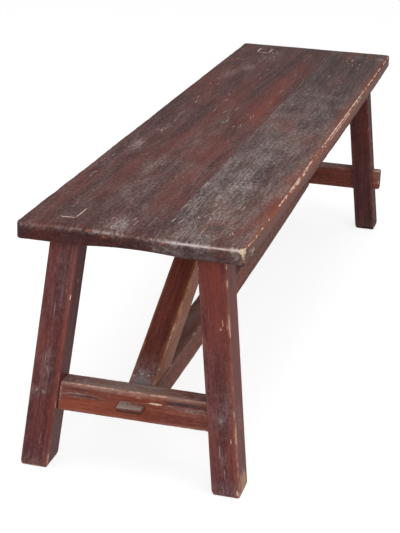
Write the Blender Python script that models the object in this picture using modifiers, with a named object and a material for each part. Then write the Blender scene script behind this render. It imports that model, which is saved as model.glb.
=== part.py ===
"""A long plank bench: two boards on four splayed legs, tied by pegged end stretchers,
a long stretcher with through tenons, and two diagonal braces that prop the seat.

X runs along the bench, Y across it and Z up. The origin is on the floor, under the middle."""

import math

import bmesh
import bpy
from mathutils import Matrix, Vector

# Fits
clearance = 0.0003
flush_recess = 0.0003
saw_allowance = 0.04
merge_distance = 0.00001

# Seat boards
seat_length = 1.6
seat_width = 0.384
seat_height = 0.45
board_thickness = 0.028
wide_board_width = 0.232
front_edge_bow = 0.005
seat_arris = 0.003
seat_corner_radius = 0.007

# Dowels across the joint between the boards
dowel_radius = 0.005
dowel_length = 0.06
dowel_chamfer = 0.001
dowel_place_shares = (-0.4, -0.2, 0.0, 0.2, 0.4)

# Legs, with their insets measured where they meet the seat and the floor
leg_depth = 0.0555
leg_width = 0.049
leg_arris = 0.002
leg_side_inset = 0.0437
leg_end_inset = 0.0458
foot_outreach = 0.0046
foot_end_inset = 0.0208
leg_tenon_thickness = 0.026
leg_tenon_shoulder = 0.0015

# End stretchers
stretcher_low = 0.1072
stretcher_height = 0.0535
stretcher_thickness = 0.035
stretcher_set_back = 0.0105
stretcher_arris = 0.0018
stretcher_tenon_thickness = 0.022
stretcher_tenon_shoulder = 0.0012
stretcher_tenon_proud = 0.0182
stretcher_tenon_arris = 0.0025

# Pegs that lock the end stretchers in the legs
peg_radius = 0.0046
peg_length = 0.046
peg_taper = 0.0006
peg_chamfer = 0.0008
peg_proud = 0.0006
peg_drop = 0.0172

# Long stretcher, drawn a little out of straight like the timber it was sawn from
long_width = 0.046
long_height = 0.0464
long_drop = 0.0125
long_arris = 0.0018
long_bow = 0.0046
long_drift = 0.0067
long_tenon_thickness = 0.0092
long_tenon_drop = 0.0071
long_tenon_shoulder = 0.0008
long_tenon_proud = 0.0246
long_tenon_chamfer = 0.0015

# Braces
brace_width = 0.045
brace_depth = 0.054
brace_arris = 0.0015
brace_head_gap = 0.078
brace_housing = 0.006

# Nails through the thin toes of the braces
nail_radius = 0.0018
nail_head_radius = 0.0042
nail_head_thickness = 0.0012
nail_length = 0.038
nail_point = 0.006
nail_inset = 0.036
nail_spacing = 0.0274

# Facet counts
arris_segments = 2
corner_segments = 3
round_facets = 16
nail_facets = 10
bow_cuts = 11
sharp_angle = math.radians(20)
lengthwise_share = 0.99

# Places worked out from the sizes
half_length = seat_length / 2
half_width = seat_width / 2
seat_underside = seat_height - board_thickness
seam_y = half_width - wide_board_width
stretcher_top = stretcher_low + stretcher_height
stretcher_middle = stretcher_low + stretcher_height / 2
long_top = stretcher_top - long_drop
long_low = long_top - long_height
long_tenon_top = long_top - long_tenon_drop
end_slope = (leg_end_inset - foot_end_inset) / seat_underside
side_slope = (leg_side_inset + foot_outreach) / seat_underside
stretcher_outer = half_length - foot_end_inset - end_slope * stretcher_middle - stretcher_set_back
stretcher_inner = stretcher_outer - stretcher_thickness
stretcher_centre = (stretcher_outer + stretcher_inner) / 2
leg_outer_at_stretcher = half_width + foot_outreach - side_slope * stretcher_middle

ends = {"left": -1, "right": 1}
sides = {"front": -1, "back": 1}


def clear_scene():
    """Start from an empty scene."""
    for obj in list(bpy.data.objects):
        bpy.data.objects.remove(obj)


def new_collection(name):
    """Make a collection in the scene."""
    collection = bpy.data.collections.new(name)
    bpy.context.scene.collection.children.link(collection)
    return collection


def finish(name, colour, roughness, metallic=0.0):
    """Make a plain Principled material."""
    material = bpy.data.materials.new(name)
    material.use_nodes = True
    shader = material.node_tree.nodes["Principled BSDF"]
    shader.inputs["Base Color"].default_value = (*colour, 1.0)
    shader.inputs["Roughness"].default_value = roughness
    shader.inputs["Metallic"].default_value = metallic
    material.diffuse_color = (*colour, 1.0)
    return material


def block(low, high):
    """A rectangular block between two corners."""
    low = Vector(low)
    high = Vector(high)
    bm = bmesh.new()
    bmesh.ops.create_cube(bm, size=1)
    bmesh.ops.scale(bm, vec=[abs(side) for side in high - low], verts=bm.verts)
    bmesh.ops.translate(bm, vec=(low + high) / 2, verts=bm.verts)
    return bm


def grown_block(low, high, extra):
    """A block between two corners, enlarged by the same amount on every side."""
    least = [min(pair) - extra for pair in zip(low, high)]
    most = [max(pair) + extra for pair in zip(low, high)]
    return block(least, most)


def trim(bm, point, normal):
    """Saw off what lies beyond a plane, on the side its normal points to, and close the cut."""
    geometry = bm.verts[:] + bm.edges[:] + bm.faces[:]
    result = bmesh.ops.bisect_plane(
        bm, geom=geometry, plane_co=point, plane_no=normal, clear_outer=True
    )
    rim = [item for item in result["geom_cut"] if isinstance(item, bmesh.types.BMEdge)]
    if rim:
        bmesh.ops.contextual_create(bm, geom=rim)
    bmesh.ops.recalc_face_normals(bm, faces=bm.faces)


def trim_in_world(bm, frame, point, normal):
    """Saw a block that stands in its own frame along a plane given in the bench's frame."""
    local_point = frame.inverted() @ Vector(point)
    local_normal = frame.to_3x3().transposed() @ Vector(normal)
    trim(bm, local_point, local_normal)


def ease_edges(bm, edges, width, segments):
    """Round the given edges."""
    bmesh.ops.bevel(
        bm,
        geom=edges,
        offset=width,
        offset_type="OFFSET",
        segments=segments,
        profile=0.5,
        affect="EDGES",
    )


def sharp_edges(bm):
    """Edges where two faces meet at a corner, leaving out those inside a flat face."""
    return [edge for edge in bm.edges if edge.calc_face_angle(0) > sharp_angle]


def lengthwise_edges(bm):
    """Edges that run along X."""
    found = []
    for edge in bm.edges:
        run = edge.verts[1].co - edge.verts[0].co
        if abs(run.x) > lengthwise_share * run.length:
            found.append(edge)
    return found


def place_object(name, mesh, collection, frame, material=None):
    """Link a mesh into the scene at its frame."""
    obj = bpy.data.objects.new(name, mesh)
    collection.objects.link(obj)
    obj.matrix_world = frame
    if material:
        mesh.materials.append(material)
    return obj


def object_from(name, bm, collection, frame=None, material=None):
    """Turn a bmesh into an object."""
    mesh = bpy.data.meshes.new(name)
    bm.to_mesh(mesh)
    bm.free()
    return place_object(name, mesh, collection, frame or Matrix(), material)


def helper_from(name, bm, frame=None):
    """Turn a bmesh into a cutter or a joined shape that isn't itself a piece."""
    obj = object_from(name, bm, cutters, frame)
    obj.hide_render = True
    obj.display_type = "WIRE"
    return obj


def combine(obj, helper, operation):
    """Cut a helper's shape out of an object, or join it on."""
    modifier = obj.modifiers.new(helper.name, "BOOLEAN")
    modifier.operation = operation
    modifier.solver = "EXACT"
    modifier.object = helper


def cut(objects, helper):
    """Cut a helper's shape out of every object that it may reach."""
    for obj in objects:
        combine(obj, helper, "DIFFERENCE")


def join(obj, helper):
    """Join a helper's shape onto an object."""
    combine(obj, helper, "UNION")


def drill(name, radius, depth, facets, frame):
    """A round cutter that starts above its frame's origin and runs down its Z axis."""
    bm = bmesh.new()
    bmesh.ops.create_cone(
        bm,
        cap_ends=True,
        segments=facets,
        radius1=radius + clearance,
        radius2=radius + clearance,
        depth=depth + clearance + saw_allowance,
    )
    lift = saw_allowance - (depth + clearance + saw_allowance) / 2
    bmesh.ops.translate(bm, vec=(0, 0, lift), verts=bm.verts)
    return helper_from(name, bm, frame)


def turned(name, profile, facets, collection, frame, material):
    """Spin a profile of radius and height pairs, listed from top to bottom, about Z."""
    bm = bmesh.new()
    points = [bm.verts.new((radius, 0, height)) for radius, height in profile]
    for upper, lower in zip(points, points[1:]):
        bm.edges.new((upper, lower))
    obj = object_from(name, bm, collection, frame, material)
    screw = obj.modifiers.new("turn", "SCREW")
    screw.axis = "Z"
    screw.steps = facets
    screw.render_steps = facets
    screw.use_merge_vertices = True
    screw.merge_threshold = merge_distance
    screw.use_smooth_shade = False
    return obj


def frame_at(origin, x_axis, z_axis):
    """A right-handed frame from its origin, its X axis and its Z axis."""
    z_axis = Vector(z_axis).normalized()
    x_axis = Vector(x_axis)
    x_axis = (x_axis - x_axis.dot(z_axis) * z_axis).normalized()
    y_axis = z_axis.cross(x_axis)
    matrix = Matrix((x_axis, y_axis, z_axis)).transposed().to_4x4()
    matrix.translation = origin
    return matrix


def leg_frame(end, side):
    """The frame of a leg: its origin is the foot's outermost corner and its Z axis runs up the leg."""
    foot = Vector((end * (half_length - foot_end_inset), side * (half_width + foot_outreach), 0))
    head_x = end * (half_length - leg_end_inset)
    head_y = side * (half_width - leg_side_inset)
    head = Vector((head_x, head_y, seat_underside))
    return frame_at(foot, (1, 0, 0), head - foot)


def leg_run():
    """Length of a leg between the floor and the seat's underside, along its corner."""
    rise = (leg_end_inset - foot_end_inset, leg_side_inset + foot_outreach, seat_underside)
    return Vector(rise).length


def leg_tenon_corners(end, side):
    """Opposite corners of a leg's tenon, in the leg's frame, running past the seat's top."""
    cheek = (leg_width - leg_tenon_thickness) / 2
    low = (-end * leg_tenon_shoulder, -side * cheek, leg_run() - saw_allowance / 2)
    far_x = -end * (leg_depth - leg_tenon_shoulder)
    high = (far_x, -side * (leg_width - cheek), leg_run() + board_thickness + saw_allowance)
    return low, high


def make_leg(name, end, side, material):
    """A square leg, sawn level at the floor and at the seat, with a tenon through the board."""
    frame = leg_frame(end, side)
    high = (-end * leg_depth, -side * leg_width, leg_run() + saw_allowance)
    body = block((0, 0, -saw_allowance), high)
    trim_in_world(body, frame, (0, 0, 0), (0, 0, -1))
    trim_in_world(body, frame, (0, 0, seat_underside - clearance), (0, 0, 1))
    ease_edges(body, sharp_edges(body), leg_arris, arris_segments)
    leg = object_from(name, body, parts, frame, material)
    tenon = block(*leg_tenon_corners(end, side))
    trim_in_world(tenon, frame, (0, 0, seat_height - flush_recess), (0, 0, 1))
    join(leg, helper_from(name + "_tenon", tenon, frame))
    return leg


def leg_mortise(end, side):
    """The slanting hole in a board that a leg's tenon fills."""
    name = "leg_mortise_{}_{}".format(end, side)
    return helper_from(
        name, grown_block(*leg_tenon_corners(end, side), clearance), leg_frame(end, side)
    )


def bow_front_edge(bm):
    """Let the narrow board's outer edge swell towards its middle."""
    bmesh.ops.subdivide_edges(bm, edges=lengthwise_edges(bm), cuts=bow_cuts, use_grid_fill=True)
    for vert in bm.verts:
        share = vert.co.x / half_length
        if vert.co.y < seam_y - clearance:
            vert.co.y -= front_edge_bow * (1 - share * share)


def ease_board(bm, outer_y):
    """Round a board's outer corners and arrises, and leave its joint edge crisp."""
    upright = [
        edge
        for edge in sharp_edges(bm)
        if abs(edge.verts[0].co.z - edge.verts[1].co.z) > board_thickness / 2
        and abs(edge.verts[0].co.y - outer_y) < seat_corner_radius
    ]
    ease_edges(bm, upright, seat_corner_radius, corner_segments)
    arrises = [
        edge
        for edge in sharp_edges(bm)
        if abs(edge.verts[0].co.z - edge.verts[1].co.z) < board_thickness / 2
        and max(abs(vert.co.y - seam_y) for vert in edge.verts) > clearance
    ]
    ease_edges(bm, arrises, seat_arris, arris_segments)


def make_board(name, inner_y, outer_y, material):
    """One board of the seat."""
    low = (-half_length, min(inner_y, outer_y), seat_underside)
    high = (half_length, max(inner_y, outer_y), seat_height)
    bm = block(low, high)
    if outer_y < inner_y:
        bow_front_edge(bm)
    ease_board(bm, outer_y)
    return object_from(name, bm, parts, None, material)


def make_dowels(boards, material):
    """Hidden dowels that keep the two boards level with each other."""
    middle = seat_underside + board_thickness / 2
    half = dowel_length / 2
    profile = [
        (0, half),
        (dowel_radius - dowel_chamfer, half),
        (dowel_radius, half - dowel_chamfer),
        (dowel_radius, dowel_chamfer - half),
        (dowel_radius - dowel_chamfer, -half),
        (0, -half),
    ]
    for number, share in enumerate(dowel_place_shares, 1):
        centre = Vector((share * seat_length, seam_y, middle))
        frame = frame_at(centre, (1, 0, 0), (0, 1, 0))
        turned("seat_dowel_{}".format(number), profile, round_facets, parts, frame, material)
        bm = bmesh.new()
        bmesh.ops.create_cone(
            bm,
            cap_ends=True,
            segments=round_facets,
            radius1=dowel_radius + clearance,
            radius2=dowel_radius + clearance,
            depth=dowel_length + 2 * clearance,
        )
        cut(boards, helper_from("dowel_hole_{}".format(number), bm, frame))


def stretcher_tenon_corners(end, extra):
    """Opposite corners of an end stretcher's through tenon, long enough to be sawn off later."""
    half_tenon = stretcher_tenon_thickness / 2 + extra
    reach = leg_outer_at_stretcher + stretcher_tenon_proud
    low_z = stretcher_low + stretcher_tenon_shoulder - extra
    high_z = stretcher_top - stretcher_tenon_shoulder + extra
    centre = end * stretcher_centre
    return (centre - half_tenon, -reach - extra, low_z), (centre + half_tenon, reach + extra, high_z)


def trim_at_leg(bm, end, side, inward):
    """Saw a stretcher parallel to a leg's outer face, a given distance inside it."""
    frame = leg_frame(end, side)
    point = frame @ Vector((0, -side * inward, 0))
    normal = frame.to_3x3() @ Vector((0, side, 0))
    trim(bm, point, normal)


def make_end_stretcher(name, end, ends_proud, material):
    """A rail between two legs, shouldered against both, with a tenon through each."""
    inner, outer = sorted((end * stretcher_inner, end * stretcher_outer))
    body = block((inner, -half_width, stretcher_low), (outer, half_width, stretcher_top))
    for side in sides.values():
        trim_at_leg(body, end, side, leg_width + clearance)
    ease_edges(body, sharp_edges(body), stretcher_arris, arris_segments)
    stretcher = object_from(name, body, parts, None, material)
    tenon = block(*stretcher_tenon_corners(end, 0))
    if ends_proud:
        ease_edges(tenon, sharp_edges(tenon), stretcher_tenon_arris, arris_segments)
    else:
        for side in sides.values():
            trim_at_leg(tenon, end, side, flush_recess)
    join(stretcher, helper_from(name + "_tenon", tenon))
    return stretcher


def stretcher_mortise(end):
    """The level hole through both legs of one end."""
    low, high = stretcher_tenon_corners(end, clearance)
    reach = Vector((0, saw_allowance, 0))
    bm = block(Vector(low) - reach, Vector(high) + reach)
    return helper_from("stretcher_mortise_{}".format(end), bm)


def peg_frame(end, side):
    """Where a peg enters the leg's outer end face: its Z axis points out of the face."""
    frame = leg_frame(end, side)
    up = (stretcher_top - peg_drop) / frame.to_3x3().col[2].z
    entry = frame @ Vector((0, -side * leg_width / 2, up))
    outward = frame.to_3x3() @ Vector((end, 0, 0))
    return frame_at(entry, frame.to_3x3().col[2], outward)


def make_peg(name, end, side, leg, stretcher, material):
    """A tapered peg driven through the leg and the tenon inside it."""
    frame = peg_frame(end, side)
    tip = peg_radius - peg_taper
    profile = [
        (0, peg_proud),
        (peg_radius - peg_chamfer, peg_proud),
        (peg_radius, peg_proud - peg_chamfer),
        (tip, peg_chamfer - peg_length),
        (tip - peg_chamfer, -peg_length),
        (0, -peg_length),
    ]
    turned(name, profile, round_facets, parts, frame, material)
    hole = drill(name + "_hole", peg_radius, peg_length, round_facets, frame)
    cut((leg, stretcher), hole)


def sway(x):
    """How far the long stretcher wanders sideways at a place along it."""
    share = (x + stretcher_inner) / (2 * stretcher_inner)
    return long_drift * share - 4 * long_bow * share * (1 - share)


def long_tenon_corners(end, extra):
    """Opposite corners of the flat tenon at one end of the long stretcher."""
    half_tenon = long_width / 2 - long_tenon_shoulder + extra
    middle = sway(end * stretcher_inner)
    root = end * (stretcher_inner - long_width)
    tip = end * (stretcher_outer + long_tenon_proud + extra)
    low = (root, middle - half_tenon, long_tenon_top - long_tenon_thickness - extra)
    return low, (tip, middle + half_tenon, long_tenon_top + extra)


def make_long_stretcher(material):
    """The rail that ties both ends together, with a flat tenon through each end stretcher."""
    reach = stretcher_inner - clearance
    body = block((-reach, -long_width / 2, long_low), (reach, long_width / 2, long_top))
    ease_edges(body, sharp_edges(body), long_arris, arris_segments)
    bmesh.ops.subdivide_edges(
        body, edges=lengthwise_edges(body), cuts=bow_cuts, use_grid_fill=True
    )
    for vert in body.verts:
        vert.co.y += sway(vert.co.x)
    rail = object_from("long_stretcher", body, parts, None, material)
    for name, end in ends.items():
        tenon = block(*long_tenon_corners(end, 0))
        ease_edges(tenon, sharp_edges(tenon), long_tenon_chamfer, 1)
        join(rail, helper_from("long_tenon_" + name, tenon))
    return rail


def long_mortise(end):
    """The flat hole through an end stretcher."""
    low, high = long_tenon_corners(end, clearance)
    return helper_from("long_mortise_{}".format(end), block(low, high))


def brace_line(end):
    """The brace's foot, its head, and its frame. Its upper face passes through the foot's toe
    on the long stretcher, and its lower face through the head's toe at the seat's underside."""
    foot = Vector((end * stretcher_inner, sway(end * stretcher_inner), long_top + clearance))
    head = Vector((end * brace_head_gap, foot.y, seat_underside))
    run = abs(head.x - foot.x)
    rise = head.z - foot.z
    tilt = math.atan2(rise, run) + math.asin(brace_depth / math.hypot(run, rise))
    along = Vector((-end * math.cos(tilt), 0, math.sin(tilt)))
    normal = Vector((end * math.sin(tilt), 0, math.cos(tilt)))
    return foot, head, frame_at(foot, along, normal)


def brace_corners(end, extra):
    """Opposite corners of a brace in its own frame, past both of its ends."""
    foot, head, _ = brace_line(end)
    run = (head - foot).length + brace_depth + saw_allowance
    low = (-saw_allowance, -brace_width / 2 - extra, -brace_depth - extra)
    return low, (run, brace_width / 2 + extra, extra)


def make_brace(name, end, material):
    """A diagonal prop, sawn level on the long stretcher and let into the seat's underside."""
    foot, _, frame = brace_line(end)
    bm = block(*brace_corners(end, 0))
    trim_in_world(bm, frame, foot, (0, 0, -1))
    trim_in_world(bm, frame, foot - Vector((end * clearance, 0, 0)), (end, 0, 0))
    trim_in_world(bm, frame, (0, 0, seat_underside + brace_housing), (0, 0, 1))
    ease_edges(bm, lengthwise_edges(bm), brace_arris, 1)
    return object_from(name, bm, parts, frame, material)


def brace_socket(end):
    """The shallow housing that takes a brace's head."""
    _, _, frame = brace_line(end)
    bm = block(*brace_corners(end, clearance))
    trim_in_world(bm, frame, (0, 0, seat_underside - saw_allowance), (0, 0, -1))
    trim_in_world(bm, frame, (0, 0, seat_underside + brace_housing + clearance), (0, 0, 1))
    return helper_from("brace_socket_{}".format(end), bm, frame)


def nail_frames(end):
    """Frames of a brace's nails, keyed by the end of the brace that they go through."""
    foot, head, frame = brace_line(end)
    along = frame.to_3x3().col[0]
    upward = frame.to_3x3().col[2]
    across = Vector((0, nail_spacing / 2, 0))
    found = {"foot": [], "head": []}
    for step in (across, -across):
        found["foot"].append(frame_at(foot + along * nail_inset + step, along, upward))
        found["head"].append(frame_at(head - along * nail_inset + step, along, -upward))
    return found


def make_nails(name, end, brace, carriers, material):
    """Two nails at each end of a brace, driven square to its face into what carries it."""
    top = clearance + nail_head_thickness
    profile = [
        (0, top),
        (nail_head_radius, top),
        (nail_head_radius, clearance),
        (nail_radius, clearance),
        (nail_radius, nail_point - nail_length),
        (0, -nail_length),
    ]
    for place, frames in nail_frames(end).items():
        for number, frame in enumerate(frames, 1):
            label = "{}_{}_nail_{}".format(name, place, number)
            turned(label, profile, nail_facets, parts, frame, material)
            hole = drill(label + "_hole", nail_radius, nail_length, nail_facets, frame)
            cut((brace, *carriers[place]), hole)


def build():
    """Make every piece of the bench."""
    red_board = finish("oxblood_board", (0.085, 0.033, 0.029), 0.55)
    grey_board = finish("weathered_board", (0.105, 0.072, 0.064), 0.65)
    leg_wood = finish("leg_wood", (0.093, 0.035, 0.03), 0.5)
    rail_wood = finish("rail_wood", (0.135, 0.047, 0.032), 0.5)
    brace_wood = finish("brace_wood", (0.1, 0.042, 0.033), 0.55)
    peg_wood = finish("peg_wood", (0.16, 0.09, 0.07), 0.6)
    dowel_wood = finish("dowel_wood", (0.35, 0.22, 0.12), 0.7)
    nail_iron = finish("nail_iron", (0.2, 0.17, 0.16), 0.6, 0.8)

    wide = make_board("seat_board_wide", seam_y + clearance / 2, half_width, red_board)
    narrow = make_board("seat_board_narrow", seam_y - clearance / 2, -half_width, grey_board)
    boards = (wide, narrow)
    make_dowels(boards, dowel_wood)

    rail = make_long_stretcher(rail_wood)
    carriers = {"foot": (rail,), "head": boards}
    for end_name, end in ends.items():
        stretcher = make_end_stretcher("end_stretcher_" + end_name, end, end > 0, rail_wood)
        cut((stretcher,), long_mortise(end))
        mortise = stretcher_mortise(end)
        for side_name, side in sides.items():
            corner = side_name + "_" + end_name
            leg = make_leg("leg_" + corner, end, side, leg_wood)
            cut((leg,), mortise)
            cut(boards, leg_mortise(end, side))
            make_peg("peg_" + corner, end, side, leg, stretcher, peg_wood)
        brace = make_brace("brace_" + end_name, end, brace_wood)
        cut(boards, brace_socket(end))
        make_nails("brace_" + end_name, end, brace, carriers, nail_iron)


clear_scene()
parts = new_collection("plank_bench")
cutters = new_collection("plank_bench_cutters")
build()
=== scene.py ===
# %% [markdown]
# # A long plank bench
# The bench is two boards on four splayed legs. Rails tie the legs, and two props hold the seat up.
# Everything that fits together was settled in the construction model, so this lesson loads that
# model first and then makes each timber again by hand: old, dented, nicked and painted.

import math
import random
from types import SimpleNamespace

import bmesh
import bpy
import numpy as np
from mathutils import Matrix, Vector
from mathutils.bvhtree import BVHTree


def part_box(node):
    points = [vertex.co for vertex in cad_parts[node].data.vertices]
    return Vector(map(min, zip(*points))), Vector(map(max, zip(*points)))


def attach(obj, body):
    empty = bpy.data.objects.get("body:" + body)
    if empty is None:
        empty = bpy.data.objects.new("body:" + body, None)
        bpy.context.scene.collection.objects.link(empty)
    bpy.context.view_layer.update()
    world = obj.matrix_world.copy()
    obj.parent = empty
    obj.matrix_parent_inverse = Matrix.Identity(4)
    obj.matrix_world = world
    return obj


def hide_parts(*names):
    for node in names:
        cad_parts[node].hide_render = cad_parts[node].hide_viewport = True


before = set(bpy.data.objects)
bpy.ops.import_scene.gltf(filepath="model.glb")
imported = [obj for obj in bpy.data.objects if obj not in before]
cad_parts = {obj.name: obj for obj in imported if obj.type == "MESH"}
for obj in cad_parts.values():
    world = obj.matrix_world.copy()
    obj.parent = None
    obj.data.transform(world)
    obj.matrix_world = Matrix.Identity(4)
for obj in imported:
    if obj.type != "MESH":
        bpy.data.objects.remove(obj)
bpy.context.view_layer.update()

# %% [markdown]
# ## The view
# The lens and the viewpoint were worked out from the straight edges of the bench. The camera
# looks along the bench from its near end, a little from the front and from above.

# %% Place the camera
camera_place = Vector((-2.8285, -0.6374, 1.1790))
camera_turn = math.radians(14.36)
camera_dip = math.radians(20.09)
camera_roll = math.radians(2.09)
lens_length = 96.0

forward = Vector((
    math.cos(camera_turn) * math.cos(camera_dip),
    math.sin(camera_turn) * math.cos(camera_dip),
    -math.sin(camera_dip),
))
level_right = Vector((math.sin(camera_turn), -math.cos(camera_turn), 0))
level_up = level_right.cross(forward)
right = level_right * math.cos(camera_roll) + level_up * math.sin(camera_roll)
up = level_up * math.cos(camera_roll) - level_right * math.sin(camera_roll)
camera = bpy.data.objects.new("camera", bpy.data.cameras.new("camera"))
camera.data.lens = lens_length
camera.matrix_world = Matrix((right, up, -forward)).transposed().to_4x4()
camera.matrix_world.translation = camera_place
bpy.context.scene.collection.objects.link(camera)
bpy.context.scene.camera = camera
bpy.context.scene.view_settings.view_transform = "Standard"
print("camera at", camera_place, "looking", forward)

# %% [markdown]
# ## Small tools for shader nodes
# A finish is a tree of nodes. These helpers add a node or two each, so that the finishes further
# down read like a recipe: a noise, a threshold, a mix of two tones.


# %% Tones and nodes
def tone(red, green, blue):
    """A colour from its values on a screen, 0 to 255, as the linear light that shaders use."""
    linear = []
    for value in (red, green, blue):
        share = value / 255
        linear.append(share / 12.92 if share <= 0.04045 else ((share + 0.055) / 1.055) ** 2.4)
    return (*linear, 1.0)


def node(tree, kind, inputs=(), **settings):
    """Add a node. Its inputs are plain values or the outputs of other nodes."""
    made = tree.nodes.new("ShaderNode" + kind)
    for name, value in settings.items():
        setattr(made, name, value)
    for place, value in dict(inputs).items():
        if isinstance(value, bpy.types.NodeSocket):
            tree.links.new(value, made.inputs[place])
        else:
            made.inputs[place].default_value = value
    return made


# %% Patterns and thresholds
def noise(tree, where, scale, stretch=(1, 1, 1), detail=4.0, roughness=0.55):
    """Cloudy noise from 0 to 1, finer with a larger scale and longer where stretch is small."""
    mapped = node(tree, "Mapping", {"Vector": where, "Scale": stretch}).outputs[0]
    made = node(
        tree,
        "TexNoise",
        {"Vector": mapped, "Scale": scale, "Detail": detail, "Roughness": roughness},
    )
    return made.outputs["Fac"]


def step(tree, value, low, high):
    """0 below low, 1 above high, and a smooth rise between. With low above high it falls."""
    made = node(
        tree,
        "MapRange",
        {"Value": value, "From Min": low, "From Max": high},
        interpolation_type="SMOOTHSTEP",
    )
    return made.outputs["Result"]


# %% Arithmetic and mixing
def maths(tree, operation, first, second):
    """Arithmetic on two values."""
    return node(tree, "Math", {0: first, 1: second}, operation=operation).outputs[0]


def times(tree, first, second):
    """The product of two values."""
    return maths(tree, "MULTIPLY", first, second)


def plus(tree, first, second):
    """The sum of two values."""
    return maths(tree, "ADD", first, second)


def mix(tree, share, below, above):
    """Lay one colour over another by a share from 0 to 1."""
    return node(tree, "Mix", {0: share, 6: below, 7: above}, data_type="RGBA").outputs[2]


# %% Painted layers, finishes and relief
def layer(tree, name):
    """A value painted on the points of a piece."""
    return node(tree, "Attribute", attribute_name=name).outputs["Fac"]


def new_finish(name):
    """A material, its node tree and its shader."""
    material = bpy.data.materials.new(name)
    material.use_nodes = True
    tree = material.node_tree
    return material, tree, tree.nodes["Principled BSDF"]


def emboss(tree, shader, height, strength, depth):
    """Give a shader a relief."""
    bump = node(tree, "Bump", {"Height": height, "Strength": strength, "Distance": depth})
    tree.links.new(bump.outputs[0], shader.inputs["Normal"])


# %% [markdown]
# ## The floor and the light
# A pale sheet runs under the bench. The camera sees it almost white, while the light that it
# throws back up is weak, so that the shadows under the seat stay deep. One broad lamp hangs
# over the seat, one faces its near end and one its side, and the world fills in the rest.

# %% Make the floor
floor_size = 60.0
floor_gap = 0.0005


def deselect():
    """Leave nothing selected."""
    bpy.ops.object.select_all(action="DESELECT")


deselect()
bpy.ops.mesh.primitive_plane_add(size=floor_size, location=(0, 0, -floor_gap))
floor = bpy.context.object
floor.name = "floor"
floor_finish, floor_tree, floor_shader = new_finish("pale_sheet")
floor_shader.inputs["Base Color"].default_value = tone(150, 149, 147)
floor_shader.inputs["Roughness"].default_value = 0.9
glow = node(floor_tree, "Emission", {"Color": tone(255, 255, 255), "Strength": 0.8})
sheet = node(floor_tree, "BsdfDiffuse", {"Color": tone(160, 160, 160)})
seen_floor = node(floor_tree, "AddShader", {0: glow.outputs[0], 1: sheet.outputs[0]})
rays = node(floor_tree, "LightPath")
seen = maths(floor_tree, "MAXIMUM", rays.outputs["Is Camera Ray"], rays.outputs["Is Glossy Ray"])
seen = maths(floor_tree, "MAXIMUM", seen, rays.outputs["Is Transmission Ray"])
split = node(
    floor_tree,
    "MixShader",
    {0: seen, 1: floor_shader.outputs[0], 2: seen_floor.outputs[0]},
)
floor_tree.links.new(split.outputs[0], floor_tree.nodes["Material Output"].inputs["Surface"])
floor.data.materials.append(floor_finish)

# %% Light it
world = bpy.data.worlds.new("studio")
bpy.context.scene.world = world
world.use_nodes = True
sky = world.node_tree
fill = sky.nodes["Background"]
fill.inputs["Color"].default_value = tone(230, 229, 228)
fill.inputs["Strength"].default_value = 0.6
white = node(sky, "Background", {"Color": (1, 1, 1, 1), "Strength": 1.0})
sky_rays = node(sky, "LightPath")
sky_split = node(
    sky,
    "MixShader",
    {0: sky_rays.outputs["Is Camera Ray"], 1: fill.outputs[0], 2: white.outputs[0]},
)
sky.links.new(sky_split.outputs[0], sky.nodes["World Output"].inputs["Surface"])


def add_lamp(name, place, aim, width, power):
    """A square soft lamp that faces a point."""
    light = bpy.data.lights.new(name, "AREA")
    light.size = width
    light.energy = power
    lamp = bpy.data.objects.new(name, light)
    lamp.location = place
    lamp.rotation_euler = (Vector(aim) - Vector(place)).to_track_quat("-Z", "Y").to_euler()
    bpy.context.scene.collection.objects.link(lamp)


add_lamp("over_lamp", (-0.6, -0.3, 3.2), aim=(0, 0, 0.3), width=2.6, power=42)
add_lamp("end_lamp", (-4.4, -1.0, 1.5), aim=(-0.4, 0, 0.25), width=2.0, power=62)
add_lamp("side_lamp", (-2.4, -3.4, 1.4), aim=(-0.3, 0, 0.25), width=1.8, power=24)
print("floor and lamps are in place")

# %% [markdown]
# ## Old painted wood
# Each timber carries its own wood coordinates, painted on its points as "grain": the first runs
# along the fibres, the other two across them. Noise that is stretched along the first one gives
# streaks that follow the timber, however it leans, and a wave round the pith gives its rings.


# %% Noises of the wood
def wood_noises(tree):
    """Every pattern that the finish of a timber reads."""
    grain = node(tree, "Attribute", attribute_name="grain").outputs["Vector"]
    flat = node(tree, "Mapping", {"Vector": grain, "Scale": (0.04, 1, 1)}).outputs[0]
    rings = node(
        tree,
        "TexWave",
        {"Vector": flat, "Scale": 52.0, "Distortion": 5.0, "Detail": 3.0, "Detail Scale": 0.5},
        wave_type="RINGS",
        rings_direction="X",
    )
    return SimpleNamespace(
        rings=rings.outputs["Fac"],
        streaks=noise(tree, grain, 55.0, (0.04, 1, 1), 5.0),
        fibres=noise(tree, grain, 260.0, (0.06, 1, 1), 3.0),
        blotches=noise(tree, grain, 13.0, (0.35, 1, 1), 3.0),
        specks=noise(tree, grain, 210.0, (0.5, 1, 1), 4.0, 0.65),
        ragged=noise(tree, grain, 95.0, (0.35, 1, 1), 5.0, 0.65),
        dashes=noise(tree, grain, 330.0, (0.06, 1, 1), 2.0),
        drift=noise(tree, grain, 34.0, (0.3, 1, 1)),
    )


# %% [markdown]
# Stain gathers in streaks, blotches and pores, the fibres break it up into pale flecks and dark
# specks, and end grain soaks up more of it. Red shows through in places of its own, and where
# the layer "warm" was painted. Each line lays one tone over what is there, by a share.


# %% Stain
def lift(tree, value, gain, least):
    """A value times a gain, raised by a least amount."""
    return plus(tree, times(tree, value, gain), least)


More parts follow.
